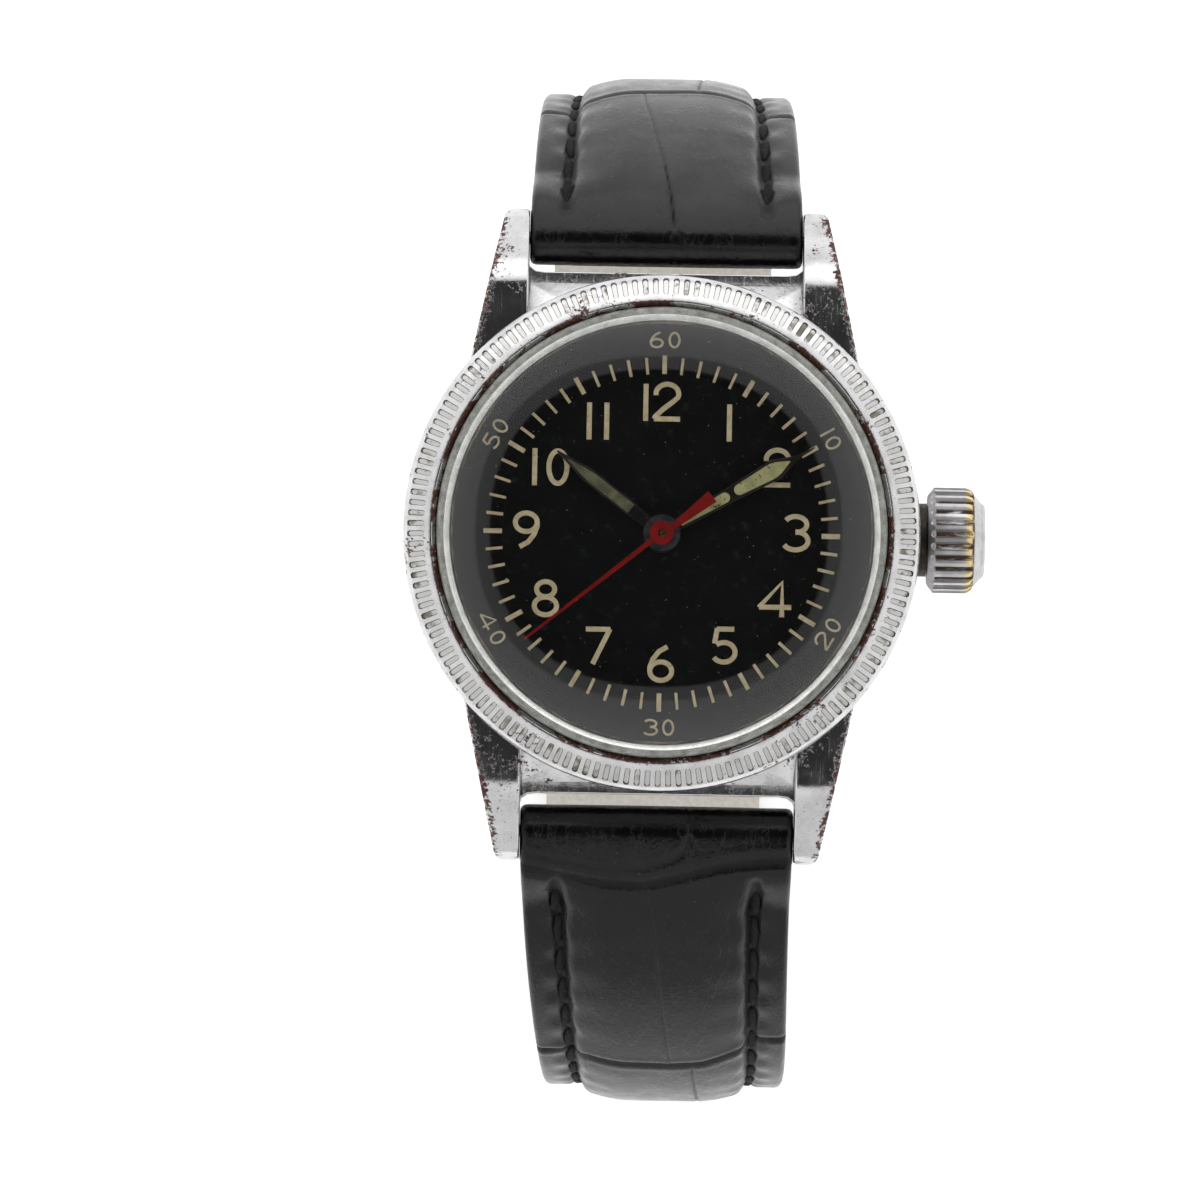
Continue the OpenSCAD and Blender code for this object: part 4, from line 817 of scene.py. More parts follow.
def makeHand(name, outline, hubs, bore, z, turn):
    plate = makePlate(name, outline, z, hand["thick"], hand["bevel"])
    joinSolids(plate, hubs)
    pin = spinPiece("pin", [(0, z - 1), (bore, z - 1), (bore, z + 2), (0, z + 2)], 48)
    joinSolids(plate, [pin], "DIFFERENCE")
    turnHand(plate, turn)
    return plate


steelLook = newLook("handSteel", (0.020, 0.018, 0.018), 0.34, 1.0)
steelTone = patches(steelLook, (0.7, 5, 0.65), 0.35, 0.7)
wire(steelLook, "Base Color", mixColour(steelLook, steelTone, (0.035, 0.031, 0.036), (0.050, 0.034, 0.024)))
wire(steelLook, "Roughness", spread(steelLook, steelTone, 0, 1, 0.3, 0.55))
addBump(steelLook, noise(steelLook, 0.15, 4), 0.004)

hubLook = newLook("hubSteel", (0.10, 0.10, 0.11), 0.36, 1.0)
hubTone = patches(hubLook, (0.5, 4), 0.40, 0.66)
wire(hubLook, "Base Color", mixColour(hubLook, hubTone, (0.13, 0.13, 0.145), (0.055, 0.07, 0.12)))
addBump(hubLook, noise(hubLook, 0.12, 3), 0.003)


def lumeLook(name, fresh, stained, spotting):
    look = newLook(name, fresh, 0.8, 0, {"Specular IOR Level": 0.15})
    tone = mixColour(look, patches(look, (0.8, 4), 0.35, 0.65), fresh, stained)
    spot = patches(look, (0.32, 4, 0.6), spotting, spotting + 0.07)
    wire(look, "Base Color", mixColour(look, spot, tone, (0.055, 0.045, 0.02)))
    wire(look, "Roughness", patches(look, (0.1, 3), 0.3, 0.7, 0.6, 0.9))
    addBump(look, noise(look, 0.16, 5, 0.7), 0.03)
    return look


hourLume = lumeLook("hourLume", (0.20, 0.20, 0.115), (0.12, 0.12, 0.075), 0.66)
minuteLume = lumeLook("minuteLume", (0.58, 0.56, 0.285), (0.42, 0.40, 0.19), 0.60)

hourOutline = bothSides([(0.34, 0.6), (0.40, 2.1), (0.44, 2.6), (0.44, 5.9), (0.05, 8.25)])
hourHub = makeHub("hub", 1.2, hand["hourBore"], hand["hourZ"] - 0.08, 0.24)
hourPiece = makeHand("hourHand", hourOutline, [hourHub], hand["hourBore"], hand["hourZ"], hand["hourTurn"])
finishPiece(hourPiece, "hour", steelLook, ["hour_hand"], 30)
lume = makePlate("hourHandLume", bothSides([(0.33, 2.42), (0.335, 3.0), (0.335, 5.5), (0.22, 6.4), (0.03, 7.4)]),
                 hand["hourZ"] + 0.04, hand["thick"], hand["lumeHigh"])
turnHand(lume, hand["hourTurn"])
finishPiece(lume, "hour", hourLume, angle=60)

minuteOutline = bothSides([(0.33, 0.6), (0.42, 2.0), (0.47, 4.9), (0.66, 8.1), (0.20, 9.35), (0.13, 9.6),
                           (0.05, 10.85)])
minuteHub = makeHub("hub", 1.12, 0.47, hand["minuteZ"], 0.30)
minutePiece = makeHand("minuteHand", minuteOutline, [], 1.0, hand["minuteZ"], hand["minuteTurn"])
finishPiece(minutePiece, "centre", steelLook, ["minute_hand"], 30)
finishPiece(minuteHub, "centre", hubLook, angle=40)
minuteHub.name = "minuteHandHub"
inner = bothSides([(0.24, 1.3)] + arc(0, 4.46, 0.33, 0, 90, 8))
outer = bothSides(arc(0, 5.50, 0.34, -90, 0, 8) + [(0.47, 7.6), (0.47, 7.9), (0.40, 8.25), (0.03, 9.1)])
for name, outline in (("minuteHandLumeIn", inner), ("minuteHandLumeOut", outer)):
    lume = makePlate(name, outline, hand["minuteZ"] + 0.04, hand["thick"], hand["lumeHigh"])
    turnHand(lume, hand["minuteTurn"])
    finishPiece(lume, "centre", minuteLume, angle=60)

redLook = newLook("redPaint", (0.26, 0.009, 0.009), 0.5, 0, {"Specular IOR Level": 0.15})
redTone = patches(redLook, (0.9, 4), 0.35, 0.65)
chip = patches(redLook, (0.22, 4, 0.6), 0.70, 0.74)
redPaint = mixColour(redLook, redTone, (0.30, 0.005, 0.004), (0.22, 0.004, 0.003))
wire(redLook, "Base Color", mixColour(redLook, chip, redPaint, (0.10, 0.03, 0.012)))
addBump(redLook, noise(redLook, 0.12, 4), 0.004)

needle = bothSides([(0.05, 0), (0.16, 0.6), (0.07, 10.75)])[::-1]
tail = bothSides([(0.19, 0.5), (0.22, 1.3), (0.42, 3.85)])
secondBore = hand["secondBore"]
plates = []
for name, outline in (("secondHand", needle), ("tail", [(-x - 0.13, -y) for x, y in tail])):
    plates.append(makePlate(name, outline, hand["secondZ"], hand["secondThick"], hand["secondBevel"]))
secondPiece, tailPlate = plates
boss = makeHub("boss", 0.75, secondBore, hand["secondZ"] - 0.02, 0.20)
joinSolids(secondPiece, [tailPlate, boss])
pin = spinPiece("pin", [(0, 7), (secondBore, 7), (secondBore, 9), (0, 9)], 48)
joinSolids(secondPiece, [pin], "DIFFERENCE")
turnHand(secondPiece, hand["secondTurn"])
finishPiece(secondPiece, "fourth", redLook, ["second_hand"], 30)
brassLook = plainMetal("pinBrass", (0.36, 0.24, 0.10), 0.3, 0.3)
pipe = spinPiece("secondHandPipe", [(0.16, 6.9), (0.25, 6.9), (0.25, 7.84), (0.23, 7.86), (0.18, 7.86),
                                    (0.16, 7.82)], 48)
finishPiece(pipe, "fourth", brassLook, angle=40)
print("hands are made")


# Crown: a fluted band round a turned knob, modelled upright and then laid along X

crown = {"x": 16.65, "z": 3.8, "r": 3.325, "flutes": 26, "deep": 0.30, "bandStart": 0.15, "bandEnd": 2.9}


def fluteOutline():
    points = []
    steps = 10
    for i in range(crown["flutes"] * steps):
        t = (i % steps) / steps
        groove = max(0.0, math.sin(math.pi * (t - 0.30) / 0.70)) if t > 0.30 else 0.0
        r = crown["r"] - crown["deep"] * groove ** 0.6
        a = fullTurn * i / (crown["flutes"] * steps)
        points.append((r * math.cos(a), r * math.sin(a)))
    return points


def makeCrown():
    band = makePlate("crownKnob", fluteOutline(), crown["bandStart"], crown["bandEnd"] - crown["bandStart"], 0)
    shoulder = spinPiece("shoulder", [(0, 0), (2.78, 0.0), (2.86, 0.04), (3.325, 0.42), (3.325, 2.35), (3.27, 2.58),
                                      (3.12, 2.78), (2.92, 2.90), (0, 2.90)], 156)
    joinSolids(band, [shoulder], "INTERSECT")
    skirt = spinPiece("skirt", [(0, 0), (2.76, 0), (2.84, 0.04), (3.21, 0.33), (3.25, 0.42), (3.0, 0.56),
                                (0, 0.56)], 156)
    cap = spinPiece("cap", [(0, 2.8), (2.86, 2.8), (2.86, 2.93), (2.80, 3.0), (2.36, 3.40)]
                    + arc(2.06, 3.30, 0.30, 20, 90, 6) + [(0, 3.6)], 156)
    joinSolids(band, [skirt, cap])
    bore = spinPiece("bore", [(0, -1), (1.72, -1), (1.72, 1.6), (0.36, 1.6), (0.36, 2.6), (0, 2.6)], 96)
    joinSolids(band, [bore], "DIFFERENCE")
    addBevel(band, 0.03, 2, 50)
    band.rotation_euler = (0, math.radians(90), 0)
    band.location = (crown["x"] * mm, 0, crown["z"] * mm)
    return band


# Brass shows where the plating is off at the outer rim and on some ribs, and dirt is in the flutes
def crownLook():
    look = newLook("crownChrome", chrome["colour"], 0.2, 1.0)
    x, y, z = axisPlace(look)[:3]
    radius = radiusOf(look, y, maths(look, "SUBTRACT", z, crown["z"] * mm))
    along = maths(look, "DIVIDE", x, mm)
    ragged = plus(look, along, times(look, noise(look, 0.5, 5, 0.65), 0.9))
    bandEnd = spread(look, along, 19.58, 19.52)
    brass = times(look, spread(look, ragged, 19.36, 19.56), bandEnd)
    worn = patches(look, (0.35, 4, 0.6, (0.35, 1, 1)), 0.66, 0.72)
    onBand = times(look, spread(look, along, 17.05, 17.15), bandEnd)
    brass = maths(look, "MAXIMUM", brass, times(look, worn, times(look, onBand, 0.8)))
    grooveDirt = times(look, spread(look, radius, 3.20, 3.06), onBand)
    patchy = patches(look, (0.45, 4, 0.6, (0.3, 1, 1)), 0.34, 0.50)
    dirt = times(look, grooveDirt, patchy)
    tone = mixColour(look, patches(look, (1.0, 4), 0.3, 0.7), (0.60, 0.60, 0.62), (0.46, 0.45, 0.45))
    tone = mixColour(look, brass, tone, (0.72, 0.58, 0.32))
    wire(look, "Base Color", mixColour(look, dirt, tone, (0.045, 0.022, 0.010)))
    wire(look, "Metallic", maths(look, "SUBTRACT", 1.0, times(look, dirt, 0.8)))
    wire(look, "Roughness", plus(look, 0.40, times(look, dirt, 0.3)))
    addBump(look, noise(look, 0.2, 4, 0.6), 0.006)
    return look


crownPiece = finishPiece(makeCrown(), "crown", crownLook(), ["crown"], 35)
print("crown:", len(crownPiece.data.polygons), "faces")


# Strap halves. Each follows its seam line, where the leather meets the lining, out from its roll round the
# spring bar. s is the distance along the seam and x goes across. Places are in the 12 o'clock half's frame,
# and the 6 o'clock half is mirrored in Y.

strap = {"rollR": 1.7, "lining": 0.9, "wide": 17.14, "endWide": 14.4, "taper": 40, "edge": 1.0, "fold": 2.48,
         "pad": 0.55, "padMore": 0.80, "padFade": 60, "round": 0.42, "stitchIn": 2.2, "stitchPitch": 2.5,
         "stitchDeep": 0.42, "bar": (18.65, 2.5), "turnZ": -19, "fine": 0.2, "coarse": 0.6, "fineTo": 28,
         "columns": 124, "holeR": 0.9, "holePitch": 6.5, "endRound": 0.6, "tipDraw": 0.7, "leanTo": 54,
         "stitchHalf": (0.33, 1.14, 0.27), "stitchSlant": 0.05}
# Each crease of the embossing has its width, its depth and its line
twelve = {"name": "strapTwelve", "body": "strap_12", "side": 1, "reach": 28.4, "lowZ": -36.5, "lowY": 14, "endY": 2.0,
          "start": -20, "tip": 0, "lean": 0.0, "stitchStart": 1.2, "creases": [
              (0.20, 0.16, [(-8.4, 12.1), (-6.3, 12.2), (-5.0, 12.4), (-2.0, 12.9), (1.6, 13.2), (4.5, 12.8),
                            (5.9, 12.3), (8.4, 12.0)]),
              (0.09, 0.07, [(-1.5, 12.9), (-1.4, 11.0), (-0.8, 7.2), (-0.15, 4.0)]),
              (0.10, 0.12, [(-0.15, 4.0), (0.25, 2.0), (0.5, 0.1)]),
              (0.12, 0.03, [(0.1, -0.6), (0.5, 0.1), (0.9, -0.4), (1.1, -1.0)]),
              (0.10, 0.08, [(1.9, 13.2), (2.2, 18.5), (2.6, 26.2)]),
              (0.20, 0.16, [(-8.4, 26.0), (-4.5, 26.6), (0.5, 27.2), (4.6, 26.5), (8.4, 25.8)])]}
six = {"name": "strapSix", "body": "strap_6", "side": -1, "reach": 33.75, "lowZ": -48.5, "lowY": 15, "endY": -24,
       "start": -10, "tip": 9.0, "lean": 0.8, "stitchStart": 2.6, "creases": [
           (0.24, 0.17, [(-8.6, 1.6), (-5.8, 2.1), (-3.4, 2.5), (-0.7, 2.6), (2.0, 2.0), (4.0, 1.5), (6.6, 1.2),
                         (8.6, 1.1)]),
           (0.13, 0.08, [(-8.6, 1.0), (-5.2, 1.5), (-2.8, 1.9), (-0.7, 1.7), (1.0, 1.2), (1.8, 0.7), (2.1, -0.1)]),
           (0.10, 0.04, [(2.1, -2.6), (2.12, -0.8), (2.1, -0.1), (2.5, 0.6)]),
           (0.10, 0.07, [(-0.8, 2.6), (-0.4, 4.4), (-0.05, 6.1), (0.05, 9.2), (0.3, 12.8), (0.6, 17.4)]),
           (0.22, 0.17, [(-8.4, 17.8), (-5.9, 17.8), (-4.6, 17.2), (-2.0, 17.4), (0.6, 17.5), (2.7, 17.2), (4.0, 16.7),
                         (5.7, 16.2), (8.4, 15.8)]),
           (0.10, 0.08, [(2.0, 17.3), (2.0, 19.1), (2.2, 23.8), (2.2, 30.8)]),
           (0.20, 0.16, [(-8.2, 31.0), (-4.0, 31.4), (0.6, 31.8), (4.2, 31.0), (8.2, 30.2)])]}


def seamLine(half):
    turn = math.radians(half["start"])
    shift = strap["rollR"] - strap["lining"]
    first = (strap["bar"][0] + shift * math.sin(turn), strap["bar"][1] - shift * math.cos(turn))
    reach, low, turnZ = half["reach"], half["lowZ"], strap["turnZ"]
    down = [first, (first[0] + 6 * math.cos(turn), first[1] + 6 * math.sin(turn)), (reach, turnZ + 12), (reach, turnZ)]
    under = [(reach, turnZ), (reach, turnZ * 0.55 + low * 0.45), (half["lowY"] + 9, low), (half["lowY"], low)]
    endY = half["endY"]
    points = [cubicPoint(down, i / 120) for i in range(120)] + [cubicPoint(under, i / 120) for i in range(120)]
    points += [(half["lowY"] + (endY - half["lowY"]) * i / 40, low) for i in range(41)]
    lengths = [0.0]
    for a, b in zip(points, points[1:]):
        lengths.append(lengths[-1] + math.dist(a, b))
    half["points"], half["lengths"], half["length"] = points, lengths, lengths[-1]


# The seam's point and its outward direction at a distance along it
def atSeam(half, s):
    points, lengths = half["points"], half["lengths"]
    k = min(max(bisect.bisect_right(lengths, s) - 1, 0), len(points) - 2)
    t = (s - lengths[k]) / (lengths[k + 1] - lengths[k])

    def direction(i):
        a, b = points[max(i - 1, 0)], points[min(i + 1, len(points) - 1)]
        size = math.dist(a, b)
        return ((b[0] - a[0]) / size, (b[1] - a[1]) / size)
    d0, d1 = direction(k), direction(k + 1)
    dy, dz = d0[0] + (d1[0] - d0[0]) * t, d0[1] + (d1[1] - d0[1]) * t
    size = math.hypot(dy, dz)
    a, b = points[k], points[k + 1]
    return (a[0] + (b[0] - a[0]) * t, a[1] + (b[1] - a[1]) * t), (-dz / size, dy / size)


def halfWidth(half, s):
    wide = (strap["wide"] + (strap["endWide"] - strap["wide"]) * min(1, max(0, s) / strap["taper"])) / 2
    if half["tip"] and s > half["length"] - half["tip"]:
        wide *= 1 - strap["tipDraw"] * ((s - half["length"] + half["tip"]) / half["tip"]) ** 2
    return wide


# How far the half leans to +X, as the photographed 6 o'clock half does
def leanOf(half, s):
    return half["lean"] * math.sin(math.pi * min(1, max(0, s) / strap["leanTo"])) ** 2


def clamp(value, low=0.0, high=1.0):
    return min(high, max(low, value))


# Depth of the creases at a place, the painted shade laid in them, and the height of the lip beside them
def creaseAt(half, x, s):
    cut, dark, lip = 0.0, 0.0, 0.0
    for wide, deep, line in half["creases"]:
        best = 9.0
        for (ax, ay), (bx, by) in zip(line, line[1:]):
            if min(ay, by) - 1 < s < max(ay, by) + 1 and min(ax, bx) - 1 < x < max(ax, bx) + 1:
                t = clamp(((x - ax) * (bx - ax) + (s - ay) * (by - ay)) / ((bx - ax) ** 2 + (by - ay) ** 2))
                best = min(best, math.hypot(x - ax - (bx - ax) * t, s - ay - (by - ay) * t))
        near = math.exp(-(best / wide) ** 2)
        cut = max(cut, deep * near)
        dark = max(dark, near * min(1, deep / 0.13))
        lip = max(lip, 0.22 * deep * math.exp(-((best - 2.3 * wide) / (1.1 * wide)) ** 2))
    return cut, dark, lip


# The further creases of the embossing, by a rule, each way across and then alternate ones along
def addCreases(half):
    s = half["creases"][-1][2][0][1] + 14
    shift = -1.0
    while s < half["length"] - 8:
        line = [(x, s + 0.6 * math.sin(x * 0.45 + s) + random.uniform(-0.12, 0.12)) for x in range(-9, 10, 3)]
        half["creases"].append((0.20, 0.16, line))
        half["creases"].append((0.10, 0.08, [(shift, s - 14.2), (shift * 0.7, s - 10), (shift * 0.9, s - 5),
                                             (shift * 1.3, s)]))
        shift = -shift * random.uniform(0.8, 1.3)
        s += 14


# Height of the skin over the seam, and the painted shade of the creases and stitch valleys there
def skinHeight(half, x, s):
    wide = halfWidth(half, s)
    # Near the roll the edge and the crown rise to the thickness of the folded leather
    nearEdge = clamp((5.0 - s) / 3.4)
    nearCrown = clamp((7.0 - s) / 5.0)
    nearEdge = nearEdge * nearEdge * (3 - 2 * nearEdge)
    edge = strap["edge"] + nearEdge * (strap["fold"] - strap["edge"])
    pad = strap["pad"] + strap["padMore"] * clamp(1 - s / strap["padFade"])
    tipFade = clamp((half["length"] - s - 2.5) / 4) if half["tip"] else clamp((half["length"] - s - 1.0) / 3)
    crown = strap["edge"] + pad * tipFade + nearCrown * (strap["fold"] + 0.02 - strap["edge"] - pad)
    # The padding is drawn in a little at each needle hole
    phase = math.cos(2 * math.pi * (s - half["stitchStart"]) / strap["stitchPitch"])
    sewn = clamp((s - half["stitchStart"] + 0.5) / 0.5) * clamp((half["length"] - 1.5 - s) / 1.0)
    line = wide - strap["stitchIn"]
    border = line - 0.12 - 0.09 * phase * sewn
    t = clamp((border - abs(x)) / max(border, 0.1))
    shoulder = math.sin(math.radians(90) * clamp((border - abs(x)) / 0.9))
    rise = 0.68 * math.sin(math.radians(90) * min(1, t / 0.62)) + 0.32 * shoulder
    height = edge + (crown - edge) * rise
    # The stitch line lies in a valley, and the border outside it dips beside each stitch
    valley = math.exp(-((abs(x) - line) / 0.36) ** 2)
    height -= strap["stitchDeep"] * valley * sewn * (0.85 - 0.15 * phase)
    if abs(x) > line:
        height -= 0.07 * sewn * (1 - phase) * math.exp(-((abs(x) - line - 0.6) / 0.6) ** 2)
    # The outer corner and the end are rounded off
    corner = abs(x) - (wide - strap["round"])
    if corner > 0:
        height -= strap["round"] - math.sqrt(max(0, strap["round"] ** 2 - corner ** 2))
    last = s - (half["length"] - strap["endRound"])
    if last > 0:
        height *= math.sqrt(max(0.0, 1 - (last / strap["endRound"]) ** 2)) * 0.98 + 0.02
    cut, dark, lip = creaseAt(half, x, s)
    # Painted shade: the stitch valleys are darkened too
    dark = max(dark, valley * sewn * 0.9)
    return height - cut + lip, dark


# A skin over a grid of columns and rows, set in place by a rule and closed where its edges meet
def loftSkin(name, columns, rows, place):
    bpy.ops.object.select_all(action="DESELECT")
    bpy.ops.mesh.primitive_grid_add(x_subdivisions=len(columns) - 1, y_subdivisions=len(rows) - 1, size=1)
    piece = nameActive(name)
    # This attribute carries the painted shade of the creases and stitch valleys, and it also roughens them
    depth = piece.data.attributes.new("creaseShade", "FLOAT", "POINT")
    for vertex in piece.data.vertices:
        column = round((vertex.co.x + 0.5) * (len(columns) - 1))
        row = round((vertex.co.y + 0.5) * (len(rows) - 1))
        point, deep = place(columns[column], rows[row])
        vertex.co = Vector(point) * mm
        depth.data[vertex.index].value = deep
    editMode()
    cleanMesh()
    return piece


# Distances of the rows along a half, close together where its end is rounded
def stations(half, fine, coarse, fineTo, start=0.0):
    stops = []
    s = start
    last = half["length"] - strap["endRound"]
    while s < last:
        stops.append(s)
        s += fine if s < fineTo else coarse
    return stops + [last + d for d in (0, 0.15, 0.3, 0.42, 0.51, 0.57, 0.6)]


def makeLeather(half):
    barY, barZ = strap["bar"]
    joint = 1.59  # where the seam leaves the roll
    topAngle = 90 + half["start"]
    lowAngle = 329 + half["start"]
    onSeam, outJoint = atSeam(half, joint)
    heart = (onSeam[0] + outJoint[0] * 1.25, onSeam[1] + outJoint[1] * 1.25)
    stops = stations(half, strap["fine"], strap["coarse"], strap["fineTo"])
    rows = [("top", s) for s in stops] + [("seam", s) for s in reversed(stops) if s > joint]
    rows += [("roll", lowAngle - (lowAngle - topAngle) * i / 44) for i in range(44)] + [("top", 0.0)]
    inset = [0, 0.03, 0.10, 0.20, 0.32]
    edges = [-1 + d / 8.0 for d in inset]
    middle = [edges[-1] + (0 - edges[-1]) * i / (strap["columns"] / 2) for i in range(1, strap["columns"] // 2 + 1)]
    leftColumns = edges + middle
    columns = [-2] + leftColumns + [-u for u in reversed(leftColumns[:-1])] + [2]

    def place(u, row):
        kind, s = row
        if kind == "roll":
            s, angle = -math.radians(s - topAngle) * strap["rollR"], math.radians(s)
        wide = halfWidth(half, s)
        across = clamp(u, -1, 1) * wide
        x = across + leanOf(half, s)
        spine = abs(u) > 1
        # deep is the painted shade of the creases and stitch valleys
        if kind == "roll":
            height, deep = skinHeight(half, across, s)
            r = strap["rollR"] + height - strap["fold"] - 0.02
            y, z = barY + r * math.cos(angle), barZ + r * math.sin(angle)
        else:
            (py, pz), (ny, nz) = atSeam(half, s)
            height, deep = skinHeight(half, across, s)
            if kind == "seam":
                height, deep = 0.01, 0
            elif spine:
                height = height / 2
            y, z = py + ny * height, pz + nz * height
        if spine:
            deep = 0
            if kind == "roll" or s <= joint:
                y, z = heart
            elif kind == "seam":
                top = skinHeight(half, across, s)[0]
                (py, pz), (ny, nz) = atSeam(half, s)
                y, z = py + ny * top / 2, pz + nz * top / 2
        return (x, y * half["side"], z), deep
    return loftSkin(half["name"] + "Leather", columns, rows, place)


def makeLining(half):
    stops = stations(half, 0.8, 0.8, 999)
    low = strap["lining"] - 0.01
    middle = -strap["lining"] / 2
    rows = [("top", s) for s in stops] + [("low", s) for s in reversed(stops)] + [("top", stops[0])]
    columns = [-2] + [-1 + i / 12 for i in range(25)] + [2]

    def place(u, row):
        kind, s = row
        fade = clamp(1 - s / 4)  # at the roll the lining starts on a slant, to clear the folded leather
        along = s + (1.66 if kind == "top" else 0.42) * fade
        wide = halfWidth(half, along) - 0.02
        (py, pz), (ny, nz) = atSeam(half, along)
        height = -0.01 if kind == "top" else -low
        last = s - (half["length"] - strap["endRound"])
        if last > 0:
            height = middle + (height - middle) * math.sqrt(max(0.0, 1 - (last / strap["endRound"]) ** 2))
        if abs(u) > 1:
            height = middle
            along = s + 1.04 * fade
            (py, pz), (ny, nz) = atSeam(half, along)
        x = clamp(u, -1, 1) * wide + leanOf(half, along)
        return (x, (py + ny * height) * half["side"], pz + nz * height), 0
    return loftSkin(half["name"] + "Lining", columns, rows, place)


# One sewn stitch, copied down both stitch lines
def makeStitches(half):
    bpy.ops.object.select_all(action="DESELECT")
    bpy.ops.mesh.primitive_uv_sphere_add(segments=8, ring_count=6, radius=mm)
    stitch = nameActive("stitch")
    wide, long, high = strap["stitchHalf"]
    for vertex in stitch.data.vertices:  # the ball becomes a short, slightly slanted roll
        y = vertex.co.y / mm
        square = math.copysign(min(1, abs(y) * 1.15) ** 0.8, y)
        vertex.co = Vector((vertex.co.x * wide + strap["stitchSlant"] * y * mm, square * long * mm, vertex.co.z * high))
    places = []
    s = half["stitchStart"] + strap["stitchPitch"] / 2
    while s < half["length"] - 2.6:
        (py, pz), (ny, nz) = atSeam(half, s)
        for hand in (-1, 1):
            across = hand * (halfWidth(half, s) - strap["stitchIn"])
            height = skinHeight(half, across, s)[0] + 0.10
            side = half["side"]
            twist = random.uniform(-0.05, 0.05) + 0.06 * hand
            outward = Vector((0, ny * side, nz))
            along = Vector((twist, nz * side, -ny)).normalized()
            aside = along.cross(outward).normalized()
            spot = Vector((across + leanOf(half, s), (py + ny * height) * side, pz + nz * height)) * mm
            places.append(Matrix(((aside.x, along.x, outward.x, spot.x), (aside.y, along.y, outward.y, spot.y),
                                  (aside.z, along.z, outward.z, spot.z), (0, 0, 0, 1))))
        s += strap["stitchPitch"]
    piece = joinCopies(stitch, places)
    piece.name = half["name"] + "Stitches"
    return piece


# Holes for the buckle's tongue, in the 6 o'clock half
def cutTongueHoles(piece):
    for k in range(-2, 3):
        cutHole(piece, strap["holeR"], 8, (0, k * strap["holePitch"], six["lowZ"]), 28, 0)


def leatherLook():
    look = newLook("wornLeather", (0.004, 0.004, 0.004), 0.24, 0, {"Specular IOR Level": 0.32})
    creaseShade = addNode(look, "ShaderNodeAttribute", attribute_name="creaseShade").outputs["Fac"]
    tone = patches(look, (2.6, 5), 0.32, 0.68)
    dust = patches(look, (0.10, 2, 0.3), 0.755, 0.785)
    y = axisPlace(look)[1]
    # Painted sheen: from the roll outward the 12 o'clock half is made lighter by colour, in patches, for the light that
    # falls on it from beyond 12
    paintedSheen = times(look, spread(look, y, 19.2 * mm, 23.2 * mm), patches(look, (4.0, 3), 0.3, 0.7, 0.55, 1.0))
    colour = mixColour(look, tone, (0.0036, 0.0033, 0.0035), (0.0022, 0.0020, 0.0021))
    colour = mixColour(look, paintedSheen, colour, (0.046, 0.043, 0.0445))
    # Painted shade: creases and stitch valleys are darkened by colour
    colour = mixColour(look, creaseShade, colour, (0.0008, 0.0008, 0.0008))
    wire(look, "Base Color", mixColour(look, times(look, dust, 0.35), colour, (0.30, 0.28, 0.25)))
    roughness = patches(look, (1.8, 5, 0.6), 0.3, 0.7, 0.17, 0.28)
    wire(look, "Roughness", plus(look, roughness, times(look, creaseShade, 0.4)))
    first = addBump(look, noise(look, 0.30, 3, 0.5), 0.014)
    second = addBump(look, noise(look, 0.11, 2, 0.5), 0.007, 1.0, first)
    wrinkles = patches(look, (0.9, 4, 0.65, (1.6, 0.5, 0.5)), 0.50, 0.62)
    addBump(look, wrinkles, 0.022, 0.6, second)
    return look


strapLook = leatherLook()
threadLook = softLook("blackThread", (0.0012, 0.0010, 0.0010), (0.0040, 0.0030, 0.0026), 0.95, 0.12, 0.06)
liningLook = softLook("suedeLining", (0.70, 0.665, 0.61), (0.60, 0.565, 0.51), 0.9, 0.35, 0.03)
for half in (twelve, six):
    seamLine(half)
    addCreases(half)
    leather = makeLeather(half)
    if half is six:
        cutTongueHoles(leather)
    finishPiece(leather, half["body"], strapLook, [half["body"] + "_leather"], 50)
    lining = makeLining(half)
    if half is six:
        cutTongueHoles(lining)
    finishPiece(lining, half["body"], liningLook, [half["body"] + "_lining"], 50)
    stitches = makeStitches(half)
    finishPiece(stitches, half["body"], threadLook, angle=60)
    print(half["name"], "is", round(half["length"], 1), "mm long,", len(leather.data.polygons), "faces")


# The 12 o'clock half's end is rolled round the buckle's bar, with a slot for the tongue
endRoll = {"r": 1.25, "bore": 0.66, "half": 7.22, "y": 1.0, "z": -36.5, "slot": 1.3, "slotFrom": -2.0, "slotTo": 2.6,
           "soft": 0.25}
low, high, half, soft = endRoll["bore"], endRoll["r"], endRoll["half"], endRoll["soft"]
rounded = arc(high - soft, -half + soft, soft, -90, 0, 4) + arc(high - soft, half - soft, soft, 0, 90, 4)
roll = spinPiece("strapTwelveEnd", [(low, -half), (high - soft, -half)] + rounded + [(low, half)], 64)
roll.rotation_euler = (0, math.radians(90), 0)
roll.location = (0, endRoll["y"] * mm, endRoll["z"] * mm)
slotSize = (endRoll["slot"] * 2, endRoll["slotTo"] - endRoll["slotFrom"], 6)
slotPlace = (0, (endRoll["slotFrom"] + endRoll["slotTo"]) / 2, endRoll["z"])
for piece in (roll, bpy.data.objects["strapTwelveLeather"], bpy.data.objects["strapTwelveLining"]):
    cutBox(piece, slotSize, slotPlace)
finishPiece(roll, "strap_12", strapLook, angle=40)


# Keepers: leather loops round both layers of the strap

keeper = {"half": 7.42, "top": -35.48, "low": -40.22, "thick": 1.08, "wide": 4.5, "round": 1.5, "inner": 0.45,
          "bevel": 0.32}
keepers = [("fixedKeeper", 5.2, "strap_12", "fixed_keeper"), ("freeKeeper", 11.6, "free_keeper", "free_keeper")]


def roundRect(half, low, high, r):
    corners = [(half - r, high - r, 0), (-half + r, high - r, 90), (-half + r, low + r, 180), (half - r, low + r, 270)]
    points = []
    for cx, cz, turn in corners:
        points += arc(cx, cz, r, turn, turn + 90, 7)
    return points


